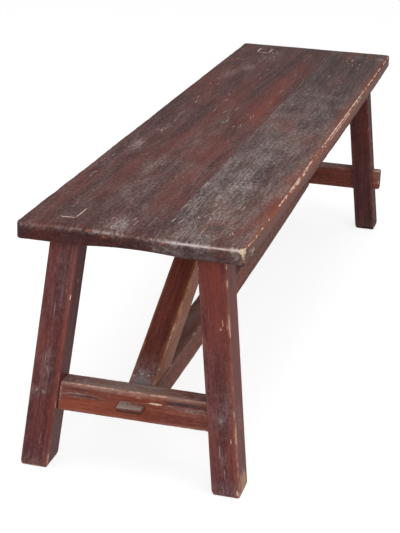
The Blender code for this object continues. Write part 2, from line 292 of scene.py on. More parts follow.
def stained(tree, wood, tones):
    """The colour of the stain before age, and how much of the surface is pores."""
    colour = mix(tree, step(tree, wood.streaks, 0.3, 0.66), tones.dark, tones.middle)
    for pattern, low, high, strength, above in (
        (wood.blotches, 0.5, 0.3, 0.55, tones.dark),
        (wood.rings, 0.75, 1.0, 0.18, tones.dark),
        (wood.fibres, 0.52, 0.68, 0.35, tones.fleck),
        (wood.fibres, 0.46, 0.32, 0.35, tones.dirt),
        (wood.specks, 0.5, 0.7, 0.35, tones.fleck),
        (wood.specks, 0.46, 0.3, 0.35, tones.dirt),
    ):
        share = times(tree, step(tree, pattern, low, high), strength)
        colour = mix(tree, share, colour, above)
    reds = plus(tree, times(tree, step(tree, wood.blotches, 0.48, 0.7), 0.45), layer(tree, "warm"))
    reds = times(tree, reds, lift(tree, step(tree, wood.streaks, 0.3, 0.6), 0.6, 0.4))
    colour = mix(tree, reds, colour, tones.warm)
    pores = step(tree, wood.dashes, 0.4, 0.33)
    colour = mix(tree, times(tree, pores, 0.25), colour, tones.dirt)
    end_grain = step(tree, layer(tree, "end"), 0.7, 0.95)
    return mix(tree, times(tree, end_grain, 0.5), colour, tones.dark), pores


# %% [markdown]
# Age comes in three films. Grey haze lies on the wood where its layer says, gritty and
# drifting, and where it is strongest, the surface is rubbed to one even tone. Along the upper
# edge of the seat's near end, the same layer paints a highlight: a pale sheen, and where it is
# strongest one even pale tone. Edges wear first, because hands and boots meet them first: "rim"
# says how far a point lies from the nearest edge, and "worn" brings the wear further in. "bare"
# rubs the stain off anywhere. Each pair below gives where a film begins and where it is full,
# the first two in metres from the edge. The reaches are in metres too: how far the wear strays,
# and how far unworn wood holds it back.

# %% Haze and wear
thinned_edge = (0.0165, 0.0085)
rubbed_edge = (0.0092, 0.0068)
rubbed_spots = (0.92, 1.08)
ragged_reach = 0.016
unworn_reach = 0.006


def haze_and_sheen_share(tree, wood):
    """How much haze hides the stain; along the seat's near edge the same share is a painted
    highlight.
    """
    grit = step(tree, wood.specks, 0.42, 0.6)
    drift = step(tree, wood.drift, 0.34, 0.66)
    veil = times(tree, lift(tree, grit, 0.7, 0.3), layer(tree, "haze"))
    veil = times(tree, veil, lift(tree, drift, 1.1, 0.3))
    return times(tree, veil, lift(tree, step(tree, wood.fibres, 0.36, 0.56), 0.4, 0.6))


def wear_shares(tree, wood):
    """How much the stain has thinned near an edge, and how much wood is rubbed bare."""
    edge = plus(tree, layer(tree, "rim"), times(tree, wood.ragged, ragged_reach))
    unworn = maths(tree, "SUBTRACT", 1.0, layer(tree, "worn"))
    edge = plus(tree, edge, times(tree, unworn, unworn_reach))
    thinned = times(tree, step(tree, edge, *thinned_edge), 0.75)
    rubbed = step(tree, plus(tree, wood.ragged, layer(tree, "bare")), *rubbed_spots)
    rubbed = times(tree, rubbed, lift(tree, step(tree, wood.fibres, 0.36, 0.5), 0.6, 0.4))
    return thinned, maths(tree, "MAXIMUM", rubbed, step(tree, edge, *rubbed_edge))


# %% [markdown]
# A finish lays the films over the stain, and dirt over all of them; in a few places the dirt
# layer carries painted shade instead. Haze and dirt are matt, so they also raise the roughness,
# and so do the painted highlight and shade that share their layers. The relief has the same
# streaks and fibres as the colour, sunk at the pores and smoothed where the wood is rubbed.

# %% The finish of a timber
least_roughness = 0.45
wood_specular = 0.09


def aged_wood(name, **tones):
    """Stained or painted wood from nine tones: dark, middle and fleck for the stain, warm where
    red shows through, haze and polish for the grey film and its rubbed places, which also carry
    a painted highlight along the seat's near edge, halo where the stain has thinned, bare for the
    wood itself, and dirt, which also carries painted shade in a few places."""
    material, tree, shader = new_finish(name)
    tones = SimpleNamespace(**{use: tone(*values) for use, values in tones.items()})
    wood = wood_noises(tree)
    colour, pores = stained(tree, wood, tones)
    veil = haze_and_sheen_share(tree, wood)
    # Where haze is strongest: rubbed places, and on the seat's near edge a painted highlight.
    polish_and_sheen_share = times(tree, step(tree, layer(tree, "haze"), 1.15, 1.45), 0.85)
    thinned, rubbed = wear_shares(tree, wood)
    # Dirt, and in a few places painted shade, darkens the wood.
    grime_and_shade = step(tree, plus(tree, times(tree, wood.specks, 0.6), layer(tree, "dirt")), 0.6, 0.9)
    for share, above in (
        (veil, tones.haze),
        (polish_and_sheen_share, tones.polish),
        (thinned, tones.halo),
        (rubbed, tones.bare),
        (times(tree, grime_and_shade, 0.8), tones.dirt),
    ):
        colour = mix(tree, share, colour, above)
    tree.links.new(colour, shader.inputs["Base Color"])

    dull = plus(tree, times(tree, veil, 0.3), times(tree, wood.fibres, 0.15))
    dull = plus(tree, dull, times(tree, grime_and_shade, 0.35))
    tree.links.new(plus(tree, dull, least_roughness), shader.inputs["Roughness"])
    relief = plus(tree, times(tree, wood.streaks, 0.5), times(tree, wood.fibres, 0.4))
    relief = maths(tree, "SUBTRACT", relief, times(tree, pores, 0.25))
    relief = plus(tree, relief, times(tree, wood.specks, 0.3))
    relief = maths(tree, "SUBTRACT", relief, times(tree, rubbed, 0.4))
    emboss(tree, shader, relief, strength=0.45, depth=0.0008)
    shader.inputs["Specular IOR Level"].default_value = wood_specular
    return material


# %% The bench's finishes
red_board = aged_wood(
    "oxblood_board",
    dark=(54, 32, 33), middle=(88, 52, 49), fleck=(124, 98, 96),
    warm=(114, 50, 40), haze=(150, 135, 132), polish=(176, 156, 158),
    halo=(116, 62, 48), bare=(194, 162, 148), dirt=(40, 28, 28),
)
grey_board = aged_wood(
    "weathered_board",
    dark=(58, 40, 40), middle=(86, 62, 58), fleck=(130, 112, 108),
    warm=(118, 56, 42), haze=(158, 145, 141), polish=(196, 182, 182),
    halo=(146, 84, 56), bare=(216, 190, 164), dirt=(42, 32, 32),
)
leg_wood = aged_wood(
    "leg_wood",
    dark=(70, 38, 42), middle=(104, 59, 60), fleck=(136, 98, 96),
    warm=(130, 62, 51), haze=(138, 118, 118), polish=(170, 150, 148),
    halo=(142, 88, 76), bare=(188, 144, 116), dirt=(48, 30, 30),
)
rail_wood = aged_wood(
    "rail_wood",
    dark=(92, 46, 40), middle=(134, 75, 65), fleck=(164, 112, 98),
    warm=(160, 82, 57), haze=(160, 140, 134), polish=(158, 142, 132),
    halo=(156, 106, 94), bare=(206, 168, 150), dirt=(60, 42, 42),
)
brace_wood = aged_wood(
    "brace_wood",
    dark=(90, 46, 42), middle=(132, 72, 64), fleck=(150, 92, 78),
    warm=(146, 70, 50), haze=(140, 128, 128), polish=(130, 118, 120),
    halo=(160, 102, 76), bare=(188, 136, 100), dirt=(60, 40, 40),
)
peg_wood = aged_wood(
    "peg_wood",
    dark=(96, 70, 66), middle=(136, 108, 102), fleck=(176, 156, 148),
    warm=(140, 84, 66), haze=(176, 164, 158), polish=(186, 174, 166),
    halo=(120, 84, 76), bare=(200, 180, 168), dirt=(62, 46, 44),
)

# %% [markdown]
# ## Bare wood in chips and joints
# Where a chip has come off, the wood under the stain shows. A chip is cut with a shape that
# carries this finish, and the cut's faces take it over. Chips on the corners that everyone
# brushes past are pale, and older ones have browned. Scratches are thin lines, pale or dull, and
# the insides of joints are dark.


# %% Chip finishes
def chipped_wood(name, pale, brown):
    """Broken wood: pale fibres that have browned unevenly."""
    material, tree, shader = new_finish(name)
    grain = node(tree, "Attribute", attribute_name="grain").outputs["Vector"]
    fibres = noise(tree, grain, 400.0, (0.08, 1, 1), 4.0, 0.6)
    stains = noise(tree, grain, 120.0, (0.5, 1, 1), 3.0)
    colour = mix(tree, step(tree, stains, 0.4, 0.6), tone(*pale), tone(*brown))
    dark_fibres = times(tree, step(tree, fibres, 0.5, 0.3), 0.5)
    tree.links.new(mix(tree, dark_fibres, colour, tone(*brown)), shader.inputs["Base Color"])
    shader.inputs["Roughness"].default_value = 0.75
    emboss(tree, shader, fibres, strength=0.5, depth=0.0006)
    return material


pale_chip = chipped_wood("pale_chip", (214, 190, 168), (164, 120, 96))
brown_chip = chipped_wood("brown_chip", (156, 88, 60), (98, 56, 44))
dull_scuff = chipped_wood("dull_scuff", (158, 122, 116), (112, 72, 66))
grey_scuff = chipped_wood("grey_scuff", (156, 134, 132), (122, 94, 94))
dark_gouge = chipped_wood("dark_gouge", (92, 62, 64), (60, 40, 42))
dark_joint = chipped_wood("dark_joint", (52, 34, 30), (34, 24, 22))
pale_line = chipped_wood("pale_line", (214, 194, 182), (196, 166, 152))
dull_line = chipped_wood("dull_line", (172, 152, 146), (138, 114, 108))
print("finishes:", len(bpy.data.materials))

# %% [markdown]
# ## Small tools for timber
# Every timber starts as a cube primitive at its size and place. It is sawn with bisect, its
# edges are rounded with bevel, and its faces are then divided into a grid, because only a face
# with enough points can be dented and hollowed.


# %% Selecting
def make_active(piece):
    """Select one object alone."""
    deselect()
    piece.select_set(True)
    bpy.context.view_layer.objects.active = piece


def select(piece, kind, test):
    """In edit mode, select the points, edges or faces that pass a test, and nothing else."""
    bpy.ops.mesh.select_mode(type=kind)
    bpy.ops.mesh.select_all(action="DESELECT")
    mesh = bmesh.from_edit_mesh(piece.data)
    for part in {"VERT": mesh.verts, "EDGE": mesh.edges, "FACE": mesh.faces}[kind]:
        if test(part):
            part.select = True
    mesh.select_flush_mode()
    bmesh.update_edit_mesh(piece.data)


nearly = 0.9


def runs_along(direction, least):
    """A test for edges that run nearly along a direction and are longer than a least length."""
    direction = Vector(direction)

    def test(edge):
        run = edge.verts[1].co - edge.verts[0].co
        return run.length > least and abs(run.dot(direction)) > nearly * run.length

    return test


# %% Placing a block
def settle(piece):
    """Store the points in the order of their places, and the faces in the order of their points.
    Edit mode leaves them in an order of its own in each run, and marks and cuts depend on it."""
    places = [tuple(vert.co) for vert in piece.data.vertices]
    order = sorted(range(len(places)), key=places.__getitem__)
    numbers = {old: new for new, old in enumerate(order)}
    rows = []
    for face in piece.data.polygons:
        corners = [numbers[corner] for corner in face.vertices]
        first = corners.index(min(corners))
        rows.append(corners[first:] + corners[:first])
    settled = bpy.data.meshes.new(piece.name)
    settled.from_pydata([places[old] for old in order], [], sorted(rows))
    for finish in piece.data.materials:
        settled.materials.append(finish)
    piece.data = settled


def apply_place(piece):
    """Turn a piece's place, turn and scale into its mesh."""
    make_active(piece)
    bpy.ops.object.transform_apply(location=True, rotation=True, scale=True)


def axes_at(origin, grain, across):
    """A timber's own axes: X along its grain, Y across it and Z through it."""
    grain = Vector(grain).normalized()
    across = Vector(across)
    across = (across - across.dot(grain) * grain).normalized()
    matrix = Matrix((grain, across, grain.cross(across))).transposed().to_4x4()
    matrix.translation = origin
    return matrix


def in_axes(axes):
    """A rule that turns rows of places into a timber's own coordinates."""
    turn = np.array(axes.inverted())
    return lambda points: points @ turn[:3, :3].T + turn[:3, 3]


def add_block(name, low, high, axes, finish):
    """A cube primitive between two corners of a timber's own axes."""
    deselect()
    low = Vector(low)
    high = Vector(high)
    bpy.ops.mesh.primitive_cube_add(size=1, location=(low + high) / 2)
    piece = bpy.context.object
    piece.name = name
    piece.scale = [abs(side) for side in high - low]
    apply_place(piece)
    piece.matrix_world = axes
    apply_place(piece)
    settle(piece)
    piece.data.materials.append(finish)
    return piece


# %% Sawing and rounding
def edit(piece):
    """Go into edit mode with everything selected."""
    make_active(piece)
    bpy.ops.object.mode_set(mode="EDIT")
    bpy.ops.mesh.select_all(action="SELECT")


def leave_edit(piece):
    """Go back to object mode."""
    bpy.ops.object.mode_set(mode="OBJECT")
    settle(piece)


def saw(point, normal):
    """In edit mode, saw off what lies beyond a plane and close the cut."""
    bpy.ops.mesh.select_all(action="SELECT")
    bpy.ops.mesh.bisect(plane_co=point, plane_no=normal, use_fill=True, clear_outer=True)


def round_edges(width, segments=3):
    """In edit mode, round the selected edges."""
    bpy.ops.mesh.bevel(offset=width, segments=segments, affect="EDGES")


# %% Dividing into a grid
most_cuts = 50


def divide(piece, direction, length, least, spacing):
    """In edit mode, divide the edges along a direction until they are as short as the spacing."""
    wanted = max(1, round(length / spacing))
    if wanted > most_cuts:
        select(piece, "EDGE", runs_along(direction, least))
        bpy.ops.mesh.subdivide(number_cuts=round(wanted / most_cuts))
        wanted = most_cuts
    select(piece, "EDGE", runs_along(direction, least))
    bpy.ops.mesh.subdivide(number_cuts=wanted - 1)


def divide_all(piece, axes, low, high, least, spacing):
    """In edit mode, turn every face into a grid."""
    for direction, start, end in zip(axes.to_3x3().col, low, high):
        if abs(end - start) > 2 * spacing:
            divide(piece, direction, abs(end - start), least, spacing)


def timber(name, low, high, axes, saws, arris, spacing, finish):
    """A sawn block with rounded edges and gridded faces."""
    piece = add_block(name, low, high, axes, finish)
    edit(piece)
    for point, normal in saws:
        saw(point, normal)
    bpy.ops.mesh.select_all(action="SELECT")
    round_edges(arris)
    divide_all(piece, axes, low, high, 2 * arris, spacing)
    leave_edit(piece)
    return piece


# %% [markdown]
# ## Small tools for age
# Broad dips come from a Displace modifier with soft clouds. Edges lose a little everywhere and
# more in places, which is the same modifier, held to the edges by a vertex group.


# %% Reading and moving points
def points_of(piece):
    """The places of a piece's points, as rows of numbers."""
    flat = np.zeros(len(piece.data.vertices) * 3)
    piece.data.vertices.foreach_get("co", flat)
    return flat.reshape(-1, 3)


def shape(piece, rule):
    """Move every point by a rule that takes and returns rows of places."""
    piece.data.vertices.foreach_set("co", rule(points_of(piece)).ravel())
    piece.data.update()


def block_planes(low, high, axes, saws=()):
    """The planes of a sawn block, each as a point and a normal that points out."""
    planes = [(np.array(point, float), np.array(normal, float)) for point, normal in saws]
    for column, direction in enumerate(axes.to_3x3().col):
        for corner in (low, high):
            sign = 1 if corner[column] == max(low[column], high[column]) else -1
            planes.append((np.array(axes @ Vector(corner)), np.array(direction * sign)))
    return planes


inside_joint = 0.05
proud_of_block = 0.0015


def rim_distance(points, planes):
    """How far each point of a surface lies from the nearest edge between two planes. What
    stands out of the block, as a tenon does, has no such edge near."""
    depths = np.sort([(point - points) @ normal for point, normal in planes], axis=0)
    return np.where(depths[0] < -proud_of_block, inside_joint, depths[1].clip(0))


# %% Wearing a surface
peak_rise = 0.3
edge_wear_stretch = 2.5
dips_stretch = 2.0


def cloud_texture(name, size, threshold=None):
    """Soft clouds, or with a threshold only the peaks of them."""
    texture = bpy.data.textures.new(name, "CLOUDS")
    texture.noise_scale = size
    if threshold is not None:
        texture.use_color_ramp = True
        foot, top = texture.color_ramp.elements
        foot.position = threshold
        top.position = threshold + peak_rise
        foot.color = (0, 0, 0, 1)
        top.color = (1, 1, 1, 1)
    return texture


broad_dips = cloud_texture("broad_dips", size=0.09)
edge_wear = cloud_texture("edge_wear", size=0.016, threshold=0.42)


def displace(piece, texture, depth, middle, axes, stretch, group=""):
    """Push a surface in along its normals by a texture that is stretched along the grain."""
    guide = bpy.data.objects.new("guide", None)
    bpy.context.scene.collection.objects.link(guide)
    guide.matrix_world = axes @ Matrix.Diagonal((stretch, 1, 1, 1))
    bpy.context.view_layer.update()
    modifier = piece.modifiers.new("wear", "DISPLACE")
    modifier.texture = texture
    modifier.texture_coords = "OBJECT"
    modifier.texture_coords_object = guide
    modifier.strength = -depth
    modifier.mid_level = middle
    modifier.vertex_group = group
    make_active(piece)
    bpy.ops.object.modifier_apply(modifier=modifier.name)
    bpy.data.objects.remove(guide)


def weather(piece, axes, planes, arris, dips, wear):
    """Make the faces gently uneven and wear the edges, each as deep as given."""
    rim = rim_distance(points_of(piece), planes)
    group = piece.vertex_groups.new(name="edges")
    for index in np.nonzero(rim < arris)[0]:
        group.add([int(index)], float(1 - rim[index] / arris), "REPLACE")
    displace(piece, edge_wear, wear, 0.0, axes, edge_wear_stretch, "edges")
    displace(piece, broad_dips, dips, 0.5, axes, dips_stretch)
    piece.vertex_groups.clear()


# %% Cutting and joining
def share_out(things, extents):
    """Share out things into groups in which no two overlap. Each has two corners as extents."""
    groups = []
    for thing, (low, high) in zip(things, extents):
        for group in groups:
            if all((low > top).any() or (high < bottom).any() for _, bottom, top in group):
                break
        else:
            group = []
            groups.append(group)
        group.append((thing, low, high))
    return [[thing for thing, _, _ in group] for group in groups]


def combine_group(piece, helpers, operation):
    """Cut or join helpers that lie apart, in one go."""
    helper = helpers[0]
    make_active(helper)
    for other in helpers:
        other.select_set(True)
    if len(helpers) > 1:
        bpy.ops.object.join()
    modifier = piece.modifiers.new("joint", "BOOLEAN")
    modifier.operation = operation
    modifier.solver = "MANIFOLD"
    modifier.material_mode = "TRANSFER"
    modifier.object = helper
    make_active(piece)
    bpy.ops.object.modifier_apply(modifier=modifier.name)
    bpy.data.objects.remove(helper)


def combine(piece, helpers, operation="DIFFERENCE"):
    """Cut helpers out of a piece or join them on, and remove them. Only helpers that don't
    overlap are cut together."""
    extents = [(points_of(each).min(axis=0), points_of(each).max(axis=0)) for each in helpers]
    for group in share_out(helpers, extents):
        combine_group(piece, group, operation)


# %% Cutters for joints
hole_sides = 20


def mortise(low, high, axes, extra):
    """A block that cuts a hole for a tenon, larger all round by the extra."""
    least = [min(pair) - extra for pair in zip(low, high)]
    most = [max(pair) + extra for pair in zip(low, high)]
    return add_block("mortise", least, most, axes, dark_joint)


def add_cylinder(sides, radius, start, end):
    """A cylinder primitive round Z, between two heights."""
    deselect()
    bpy.ops.mesh.primitive_cylinder_add(
        vertices=sides,
        radius=radius,
        depth=abs(end - start),
        location=(0, 0, (start + end) / 2),
    )
    piece = bpy.context.object
    apply_place(piece)
    settle(piece)
    return piece


def drill(radius, start, end, axes):
    """A round cutter between two heights along the Z of its axes."""
    cutter = add_cylinder(hole_sides, radius, start, end)
    cutter.matrix_world = axes
    apply_place(cutter)
    cutter.data.materials.append(dark_joint)
    return cutter


# %% [markdown]
# ## Marks
# A mark is the hollow that a squashed ball leaves in a surface. A long thin one is a scratch and
# a short one on an edge is a chip. Every mark of a timber is laid out first, and the marks that
# don't touch each other are then cut in one go, because a cut takes a while.

# %% Laying out marks
least_slant = 0.3
mark_lengths = (0.25, 1.0)
chip_widths = (0.8, 1.8)
chip_depths = (0.5, 1.0)


def surface_of(piece):
    """The faces of a piece as a tree that finds the spot nearest a place."""
    corners = [face.vertices[:] for face in piece.data.polygons]
    return BVHTree.FromPolygons([vert.co for vert in piece.data.vertices], corners)


def scoop(surface, place, run, size, finish):
    """Where a ball is squashed into a surface, at the spot nearest a place, and the finish of
    the hollow. The size gives the half length along the run, the half width and the depth. A
    run that would go into the surface is laid across it instead."""
    spot, normal, _, _ = surface.find_nearest(place)
    run = Vector(run).normalized()
    along = run - run.dot(normal) * normal
    if along.length < least_slant:
        along = normal.orthogonal()
    turn = axes_at(spot, along, normal.cross(along))
    return turn @ Matrix.Diagonal((*size, 1)), finish


def chips_along(surface, start, end, rows, seed):
    """Chips along an edge. A row gives the stretch of the edge as two shares of its length,
    how many chips it has, their half length and their depth, and their finish. Each chip then
    draws its own shares of them."""
    draw = random.Random(seed)
    start = Vector(start)
    run = Vector(end) - start
    found = []
    for low, high, count, length, depth, finish in rows:
        for _ in range(count):
            place = start + run * draw.uniform(low, high)
            half_run = length * draw.uniform(*mark_lengths)
            width = depth * draw.uniform(*chip_widths)
            size = (half_run, width, depth * draw.uniform(*chip_depths))
            found.append(scoop(surface, place, run, size, finish))
    return found


# %% Cutting marks
ball_sides = 12
deselect()
bpy.ops.mesh.primitive_uv_sphere_add(segments=ball_sides, ring_count=ball_sides // 2, radius=1)
ball = bpy.context.object
ball.hide_render = True
settle(ball)


def scoops_together(marks):
    """One cutter for marks that lie apart, with a squashed copy of the ball for each."""
    together = bmesh.new()
    cutter = bpy.data.objects.new("scoops", bpy.data.meshes.new("scoops"))
    for turn, finish in marks:
        if finish.name not in cutter.data.materials:
            cutter.data.materials.append(finish)
        known = len(together.faces)
        copy = ball.data.copy()
        copy.transform(turn)
        together.from_mesh(copy)
        bpy.data.meshes.remove(copy)
        together.faces.ensure_lookup_table()
        for face in together.faces[known:]:
            face.material_index = cutter.data.materials.find(finish.name)
    together.to_mesh(cutter.data)
    together.free()
    bpy.context.scene.collection.objects.link(cutter)
    return cutter


def scoops(marks):
    """The cutters for all the marks of a timber."""
    extents = []
    for turn, _ in marks:
        reach = np.linalg.norm(np.array(turn)[:3, :3], axis=1)
        extents.append((np.array(turn.translation) - reach, np.array(turn.translation) + reach))
    return [scoops_together(group) for group in share_out(marks, extents)]


# %% [markdown]
# ## Painting the layers
# What a finish reads is stored as numbers on the points. The grain, the distance to an edge and
# the end grain follow from the timber's shape. Haze, warmth, rubbed wood, dirt and wear are
# painted with strokes: soft ovals that are strongest in their middle. A few strokes of haze and
# bare paint a highlight instead, and a few strokes of dirt paint shade.

# %% Painting the layers
paint_layers = ("warm", "haze", "bare", "dirt", "worn")
most_paint = 1.5
figure_step = 1.7
pith_depth = 0.09
pith_drift = 0.04
pith_rise = 0.03
crease_angle = math.radians(28)


def write_layer(piece, name, values):
    """Store one number for each point."""
    attribute = piece.data.attributes.new(name, "FLOAT", "POINT")
    attribute.data.foreach_set("value", np.ascontiguousarray(values, np.float32))


def season(piece, own, planes, figure, base, strokes, straighten=np.array):
    """Store the wood's own coordinates, the distance to the nearest edge, how squarely a point
    faces along the fibres, which makes it end grain, and each painted layer.
    A stroke is a layer, a middle and three reaches in own coordinates, and a strength. Figure
    picks the piece of wood, and straighten undoes what bent it."""
    points = straighten(points_of(piece))
    places = own(points)
    pith = (pith_drift * math.sin(7 * figure), pith_depth + pith_rise * math.cos(5 * figure))
    grain = piece.data.attributes.new("grain", "FLOAT_VECTOR", "POINT")
    shifted = places + np.array((figure * figure_step, *pith))
    grain.data.foreach_set("vector", shifted.astype(np.float32).ravel())
    write_layer(piece, "rim", rim_distance(points, planes))
    fibre_run = (own(np.eye(3)) - own(np.zeros((1, 3))))[:, 0]
    facing = np.zeros(points.size)
    piece.data.vertices.foreach_get("normal", facing)
    write_layer(piece, "end", abs(facing.reshape(-1, 3) @ fibre_run))
    values = {name: np.full(len(points), base.get(name, 0.0)) for name in paint_layers}
    for name, middle, reach, strength in strokes:
        away = (((places - np.array(middle)) / np.array(reach)) ** 2).sum(axis=1)
        values[name] += strength * np.exp(-away)
    for name in paint_layers:
        write_layer(piece, name, values[name].clip(0, most_paint))


def complete(piece, node_name):
    """Shade a piece smooth, and let it stand for its construction."""
    make_active(piece)
    bpy.ops.object.shade_smooth_by_angle(angle=crease_angle)
    piece.name = "old_" + node_name
    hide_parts(node_name)
    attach(piece, "root")
    print(piece.name, "has", len(piece.data.polygons), "faces")


# %% [markdown]
# ## The sizes that the pieces share
# The construction gives the corners of every piece. The few sizes that its boxes don't show,
# such as the tenons inside the joints, are named here. So are the joints' cutters, because a
# hole in one timber has to match what another timber puts through it.

# %% Sizes of the boards and legs
wide_low, wide_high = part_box("seat_board_wide")
narrow_low, narrow_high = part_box("seat_board_narrow")
half_length = wide_high.x
seat_top = wide_high.z
seat_under = wide_low.z
board_thickness = seat_top - seat_under
back_edge = wide_high.y
seam = (wide_low.y + narrow_high.y) / 2
leg_depth = 0.0555
leg_width = 0.049
head_end_inset = 0.0458
head_side_inset = 0.0437
tenon_thickness = 0.026
tenon_shoulder = 0.0015
gap = 0.0003
overrun = 0.02
ends = {"left": -1, "right": 1}
sides = {"front": -1, "back": 1}
dowel_names = ["seat_dowel_{}".format(number) for number in range(1, 6)]
world_axes = Matrix()


def leg_axes(end_name, side_name):
    """The axes of a leg, from the outermost corner of its foot up its outer edge, and its run."""
    low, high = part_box("leg_{}_{}".format(side_name, end_name))
    end = ends[end_name]
    side = sides[side_name]
    foot = Vector((high.x if end > 0 else low.x, high.y if side > 0 else low.y, 0))
    head = Vector((end * (half_length - head_end_inset), side * (back_edge - head_side_inset), 0))
    head.z = seat_under
    return axes_at(foot, head - foot, (1, 0, 0)), (head - foot).length


def leg_tenon(end_name, side_name):
    """Opposite corners of a leg's tenon in the leg's own axes."""
    end = ends[end_name]
    side = sides[side_name]
    run = leg_axes(end_name, side_name)[1]
    cheek = (leg_width - tenon_thickness) / 2
    low = (run - overrun, -end * tenon_shoulder, -side * cheek)
    tip = (run + 2 * board_thickness, -end * (leg_depth - tenon_shoulder))
    return low, (*tip, -side * (leg_width - cheek))


# %% Sizes of the end stretchers and their pegs
rail_tenon_thickness = 0.022
rail_tenon_shoulder = 0.0012
peg_radius = 0.0046
peg_length = 0.046
peg_drop = 0.0172
peg_proud = 0.0006


def rail_tenon(end_name, extra=0.0):
    """Opposite corners of the tenons of an end stretcher, as one bar along it."""
    low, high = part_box("end_stretcher_" + end_name)
    middle = (low.x + high.x) / 2
    half = rail_tenon_thickness / 2
    start = (middle - half, low.y - extra, low.z + rail_tenon_shoulder)
    return start, (middle + half, high.y + extra, high.z - rail_tenon_shoulder)


def leg_face(end_name, side_name, inward):
    """The plane of a leg's outer side face, moved inward, as a point and a normal."""
    axes, _ = leg_axes(end_name, side_name)
    side = sides[side_name]
    return axes @ Vector((0, 0, -side * inward)), axes.to_3x3() @ Vector((0, 0, side))


def peg_axes(end_name, side_name):
    """Where a peg enters a leg: X runs up the leg and Z out of its end face."""
    axes, _ = leg_axes(end_name, side_name)
    up_leg = axes.to_3x3().col[0]
    outward = axes.to_3x3() @ Vector((0, ends[end_name], 0))
    climb = (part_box("end_stretcher_left")[1].z - peg_drop) / up_leg.z
    entry = axes @ Vector((climb, 0, -sides[side_name] * leg_width / 2))
    return axes_at(entry, up_leg, outward.cross(up_leg))


def peg_hole(end_name, side_name):
    """The hole of a peg, open at the face of the leg."""
    return drill(peg_radius + gap, -peg_length - gap, overrun, peg_axes(end_name, side_name))


# %% Sizes of the long stretcher
long_width = 0.046
long_tenon_drop = 0.0071
long_tenon_thickness = 0.0092
long_tenon_shoulder = 0.0008
long_bow = 0.0046
long_drift = 0.0067
long_low, long_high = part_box("long_stretcher")
rail_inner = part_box("end_stretcher_right")[0].x


def sway(x):
    """How far the long stretcher wanders sideways."""
    share = (x + rail_inner) / (2 * rail_inner)
    return long_drift * share - 4 * long_bow * share * (1 - share)


def long_tenon(end_name, extra=0.0):
    """Opposite corners of the flat tenon at one end of the long stretcher."""
    end = ends[end_name]
    half = long_width / 2 - long_tenon_shoulder + extra
    middle = sway(end * rail_inner)
    top = long_high.z - long_tenon_drop
    root = (end * (rail_inner - long_width), middle - half, top - long_tenon_thickness - extra)
    tip = (long_high.x if end > 0 else long_low.x) + end * extra
    return root, (tip, middle + half, top + extra)


# %% Sizes of the braces
brace_width = 0.045
brace_depth = 0.054
brace_head_gap = 0.078
brace_housing = 0.006
brace_spare = 4 * overrun


def brace_axes(end):
    """A brace's own axes, from the toe of its foot, and the toe of its head."""
    foot = Vector((end * rail_inner, sway(end * rail_inner), long_high.z + gap))
    head = Vector((end * brace_head_gap, foot.y, seat_under))
    run = abs(head.x - foot.x)
    rise = head.z - foot.z
    tilt = math.atan2(rise, run) + math.asin(brace_depth / math.hypot(run, rise))
    along = Vector((-end * math.cos(tilt), 0, math.sin(tilt)))
    normal = Vector((end * math.sin(tilt), 0, math.cos(tilt)))
    return axes_at(foot, along, normal.cross(along)), head


def brace_block(end, extra=0.0):
    """Opposite corners of a brace in its own axes, and its saw cuts."""
    axes, head = brace_axes(end)
    run = (head - axes.translation).length
    low = (-overrun, -brace_width / 2 - extra, -brace_depth - extra)
    high = (run + brace_spare, brace_width / 2 + extra, extra)
    foot = axes.translation
    saws = [
        (foot, (0, 0, -1)),
        (foot - Vector((end * gap, 0, 0)), (end, 0, 0)),
        ((0, 0, seat_under + brace_housing + extra), (0, 0, 1)),
    ]
    return low, high, axes, saws


def brace_socket(end):
    """The hollow that a brace's head is let into."""
    low, high, axes, saws = brace_block(end, gap)
    socket = add_block("socket", low, high, axes, dark_joint)
    edit(socket)
    saw(*saws[-1])
    leave_edit(socket)
    return socket


# %% Sizes of the nails
nail_radius = 0.0018
nail_head_radius = 0.0042
nail_head_thickness = 0.0012
nail_length = 0.038
nail_point = 0.006
nail_inset = 0.036
nail_spacing = 0.0274
nail_sink = 0.0006
nail_seat = 0.005


def nail_axes(end):
    """Where the nails of a brace enter, at its foot and its head: Z points out of the wood."""
    axes, head = brace_axes(end)
    along, _, upward = axes.to_3x3().col
    starts = {
        "foot": (axes.translation + along * nail_inset, upward),
        "head": (head - along * nail_inset, -upward),
    }
    found = {}
    for place, (start, outward) in starts.items():
        for number, side in enumerate((1, -1), 1):
            origin = start + Vector((0, side * nail_spacing / 2, 0)) - outward * nail_sink
            found[place, number] = axes_at(origin, along, outward.cross(along))
    return found


def nail_holes(end, place):
    """The holes of a pair of nails, with a shallow seat for each head."""
    found = []
    for (place_of_nail, _), axes in nail_axes(end).items():
        if place_of_nail == place:
            found.append(drill(nail_radius + gap, -nail_length - gap, nail_sink, axes))
            found.append(drill(nail_head_radius + gap, 0, nail_seat, axes))
    return found


# %% [markdown]
# ## The seat's surface
# The near end of the wide board is a little crowned, and its underside is hollowed between the
# legs, so the end looks thinnest in the middle. Both fade out along the board. The front edge
# swells towards its middle. The upper edge of the near end is worn down, and its front corner
# is rubbed back. The tenons were planed off with the boards, so their tops are brought to
# whatever surface the board has.

# %% Surface of the seat
crown = 0.0035
crown_middle = 0.085
crown_half_width = 0.12
hollow = 0.0045
hollow_middle = -0.005
hollow_half_width = 0.085
end_fade = 0.35
end_drop = 0.004
end_drop_reach = 0.012
corner_tuck = 0.0045
corner_tuck_reach = 0.10
front_bow = back_edge + narrow_low.y


def fade_from_end(x):
    """1 at the near end and 0 beyond the fade."""
    return (1 - (x + half_length) / end_fade).clip(0, 1)


def seat_rise(x, y):
    """How far the top of the seat stands above its nominal height."""
    hump = (1 - ((y - crown_middle) / crown_half_width) ** 2).clip(0, 1)
    return crown * hump * fade_from_end(x)


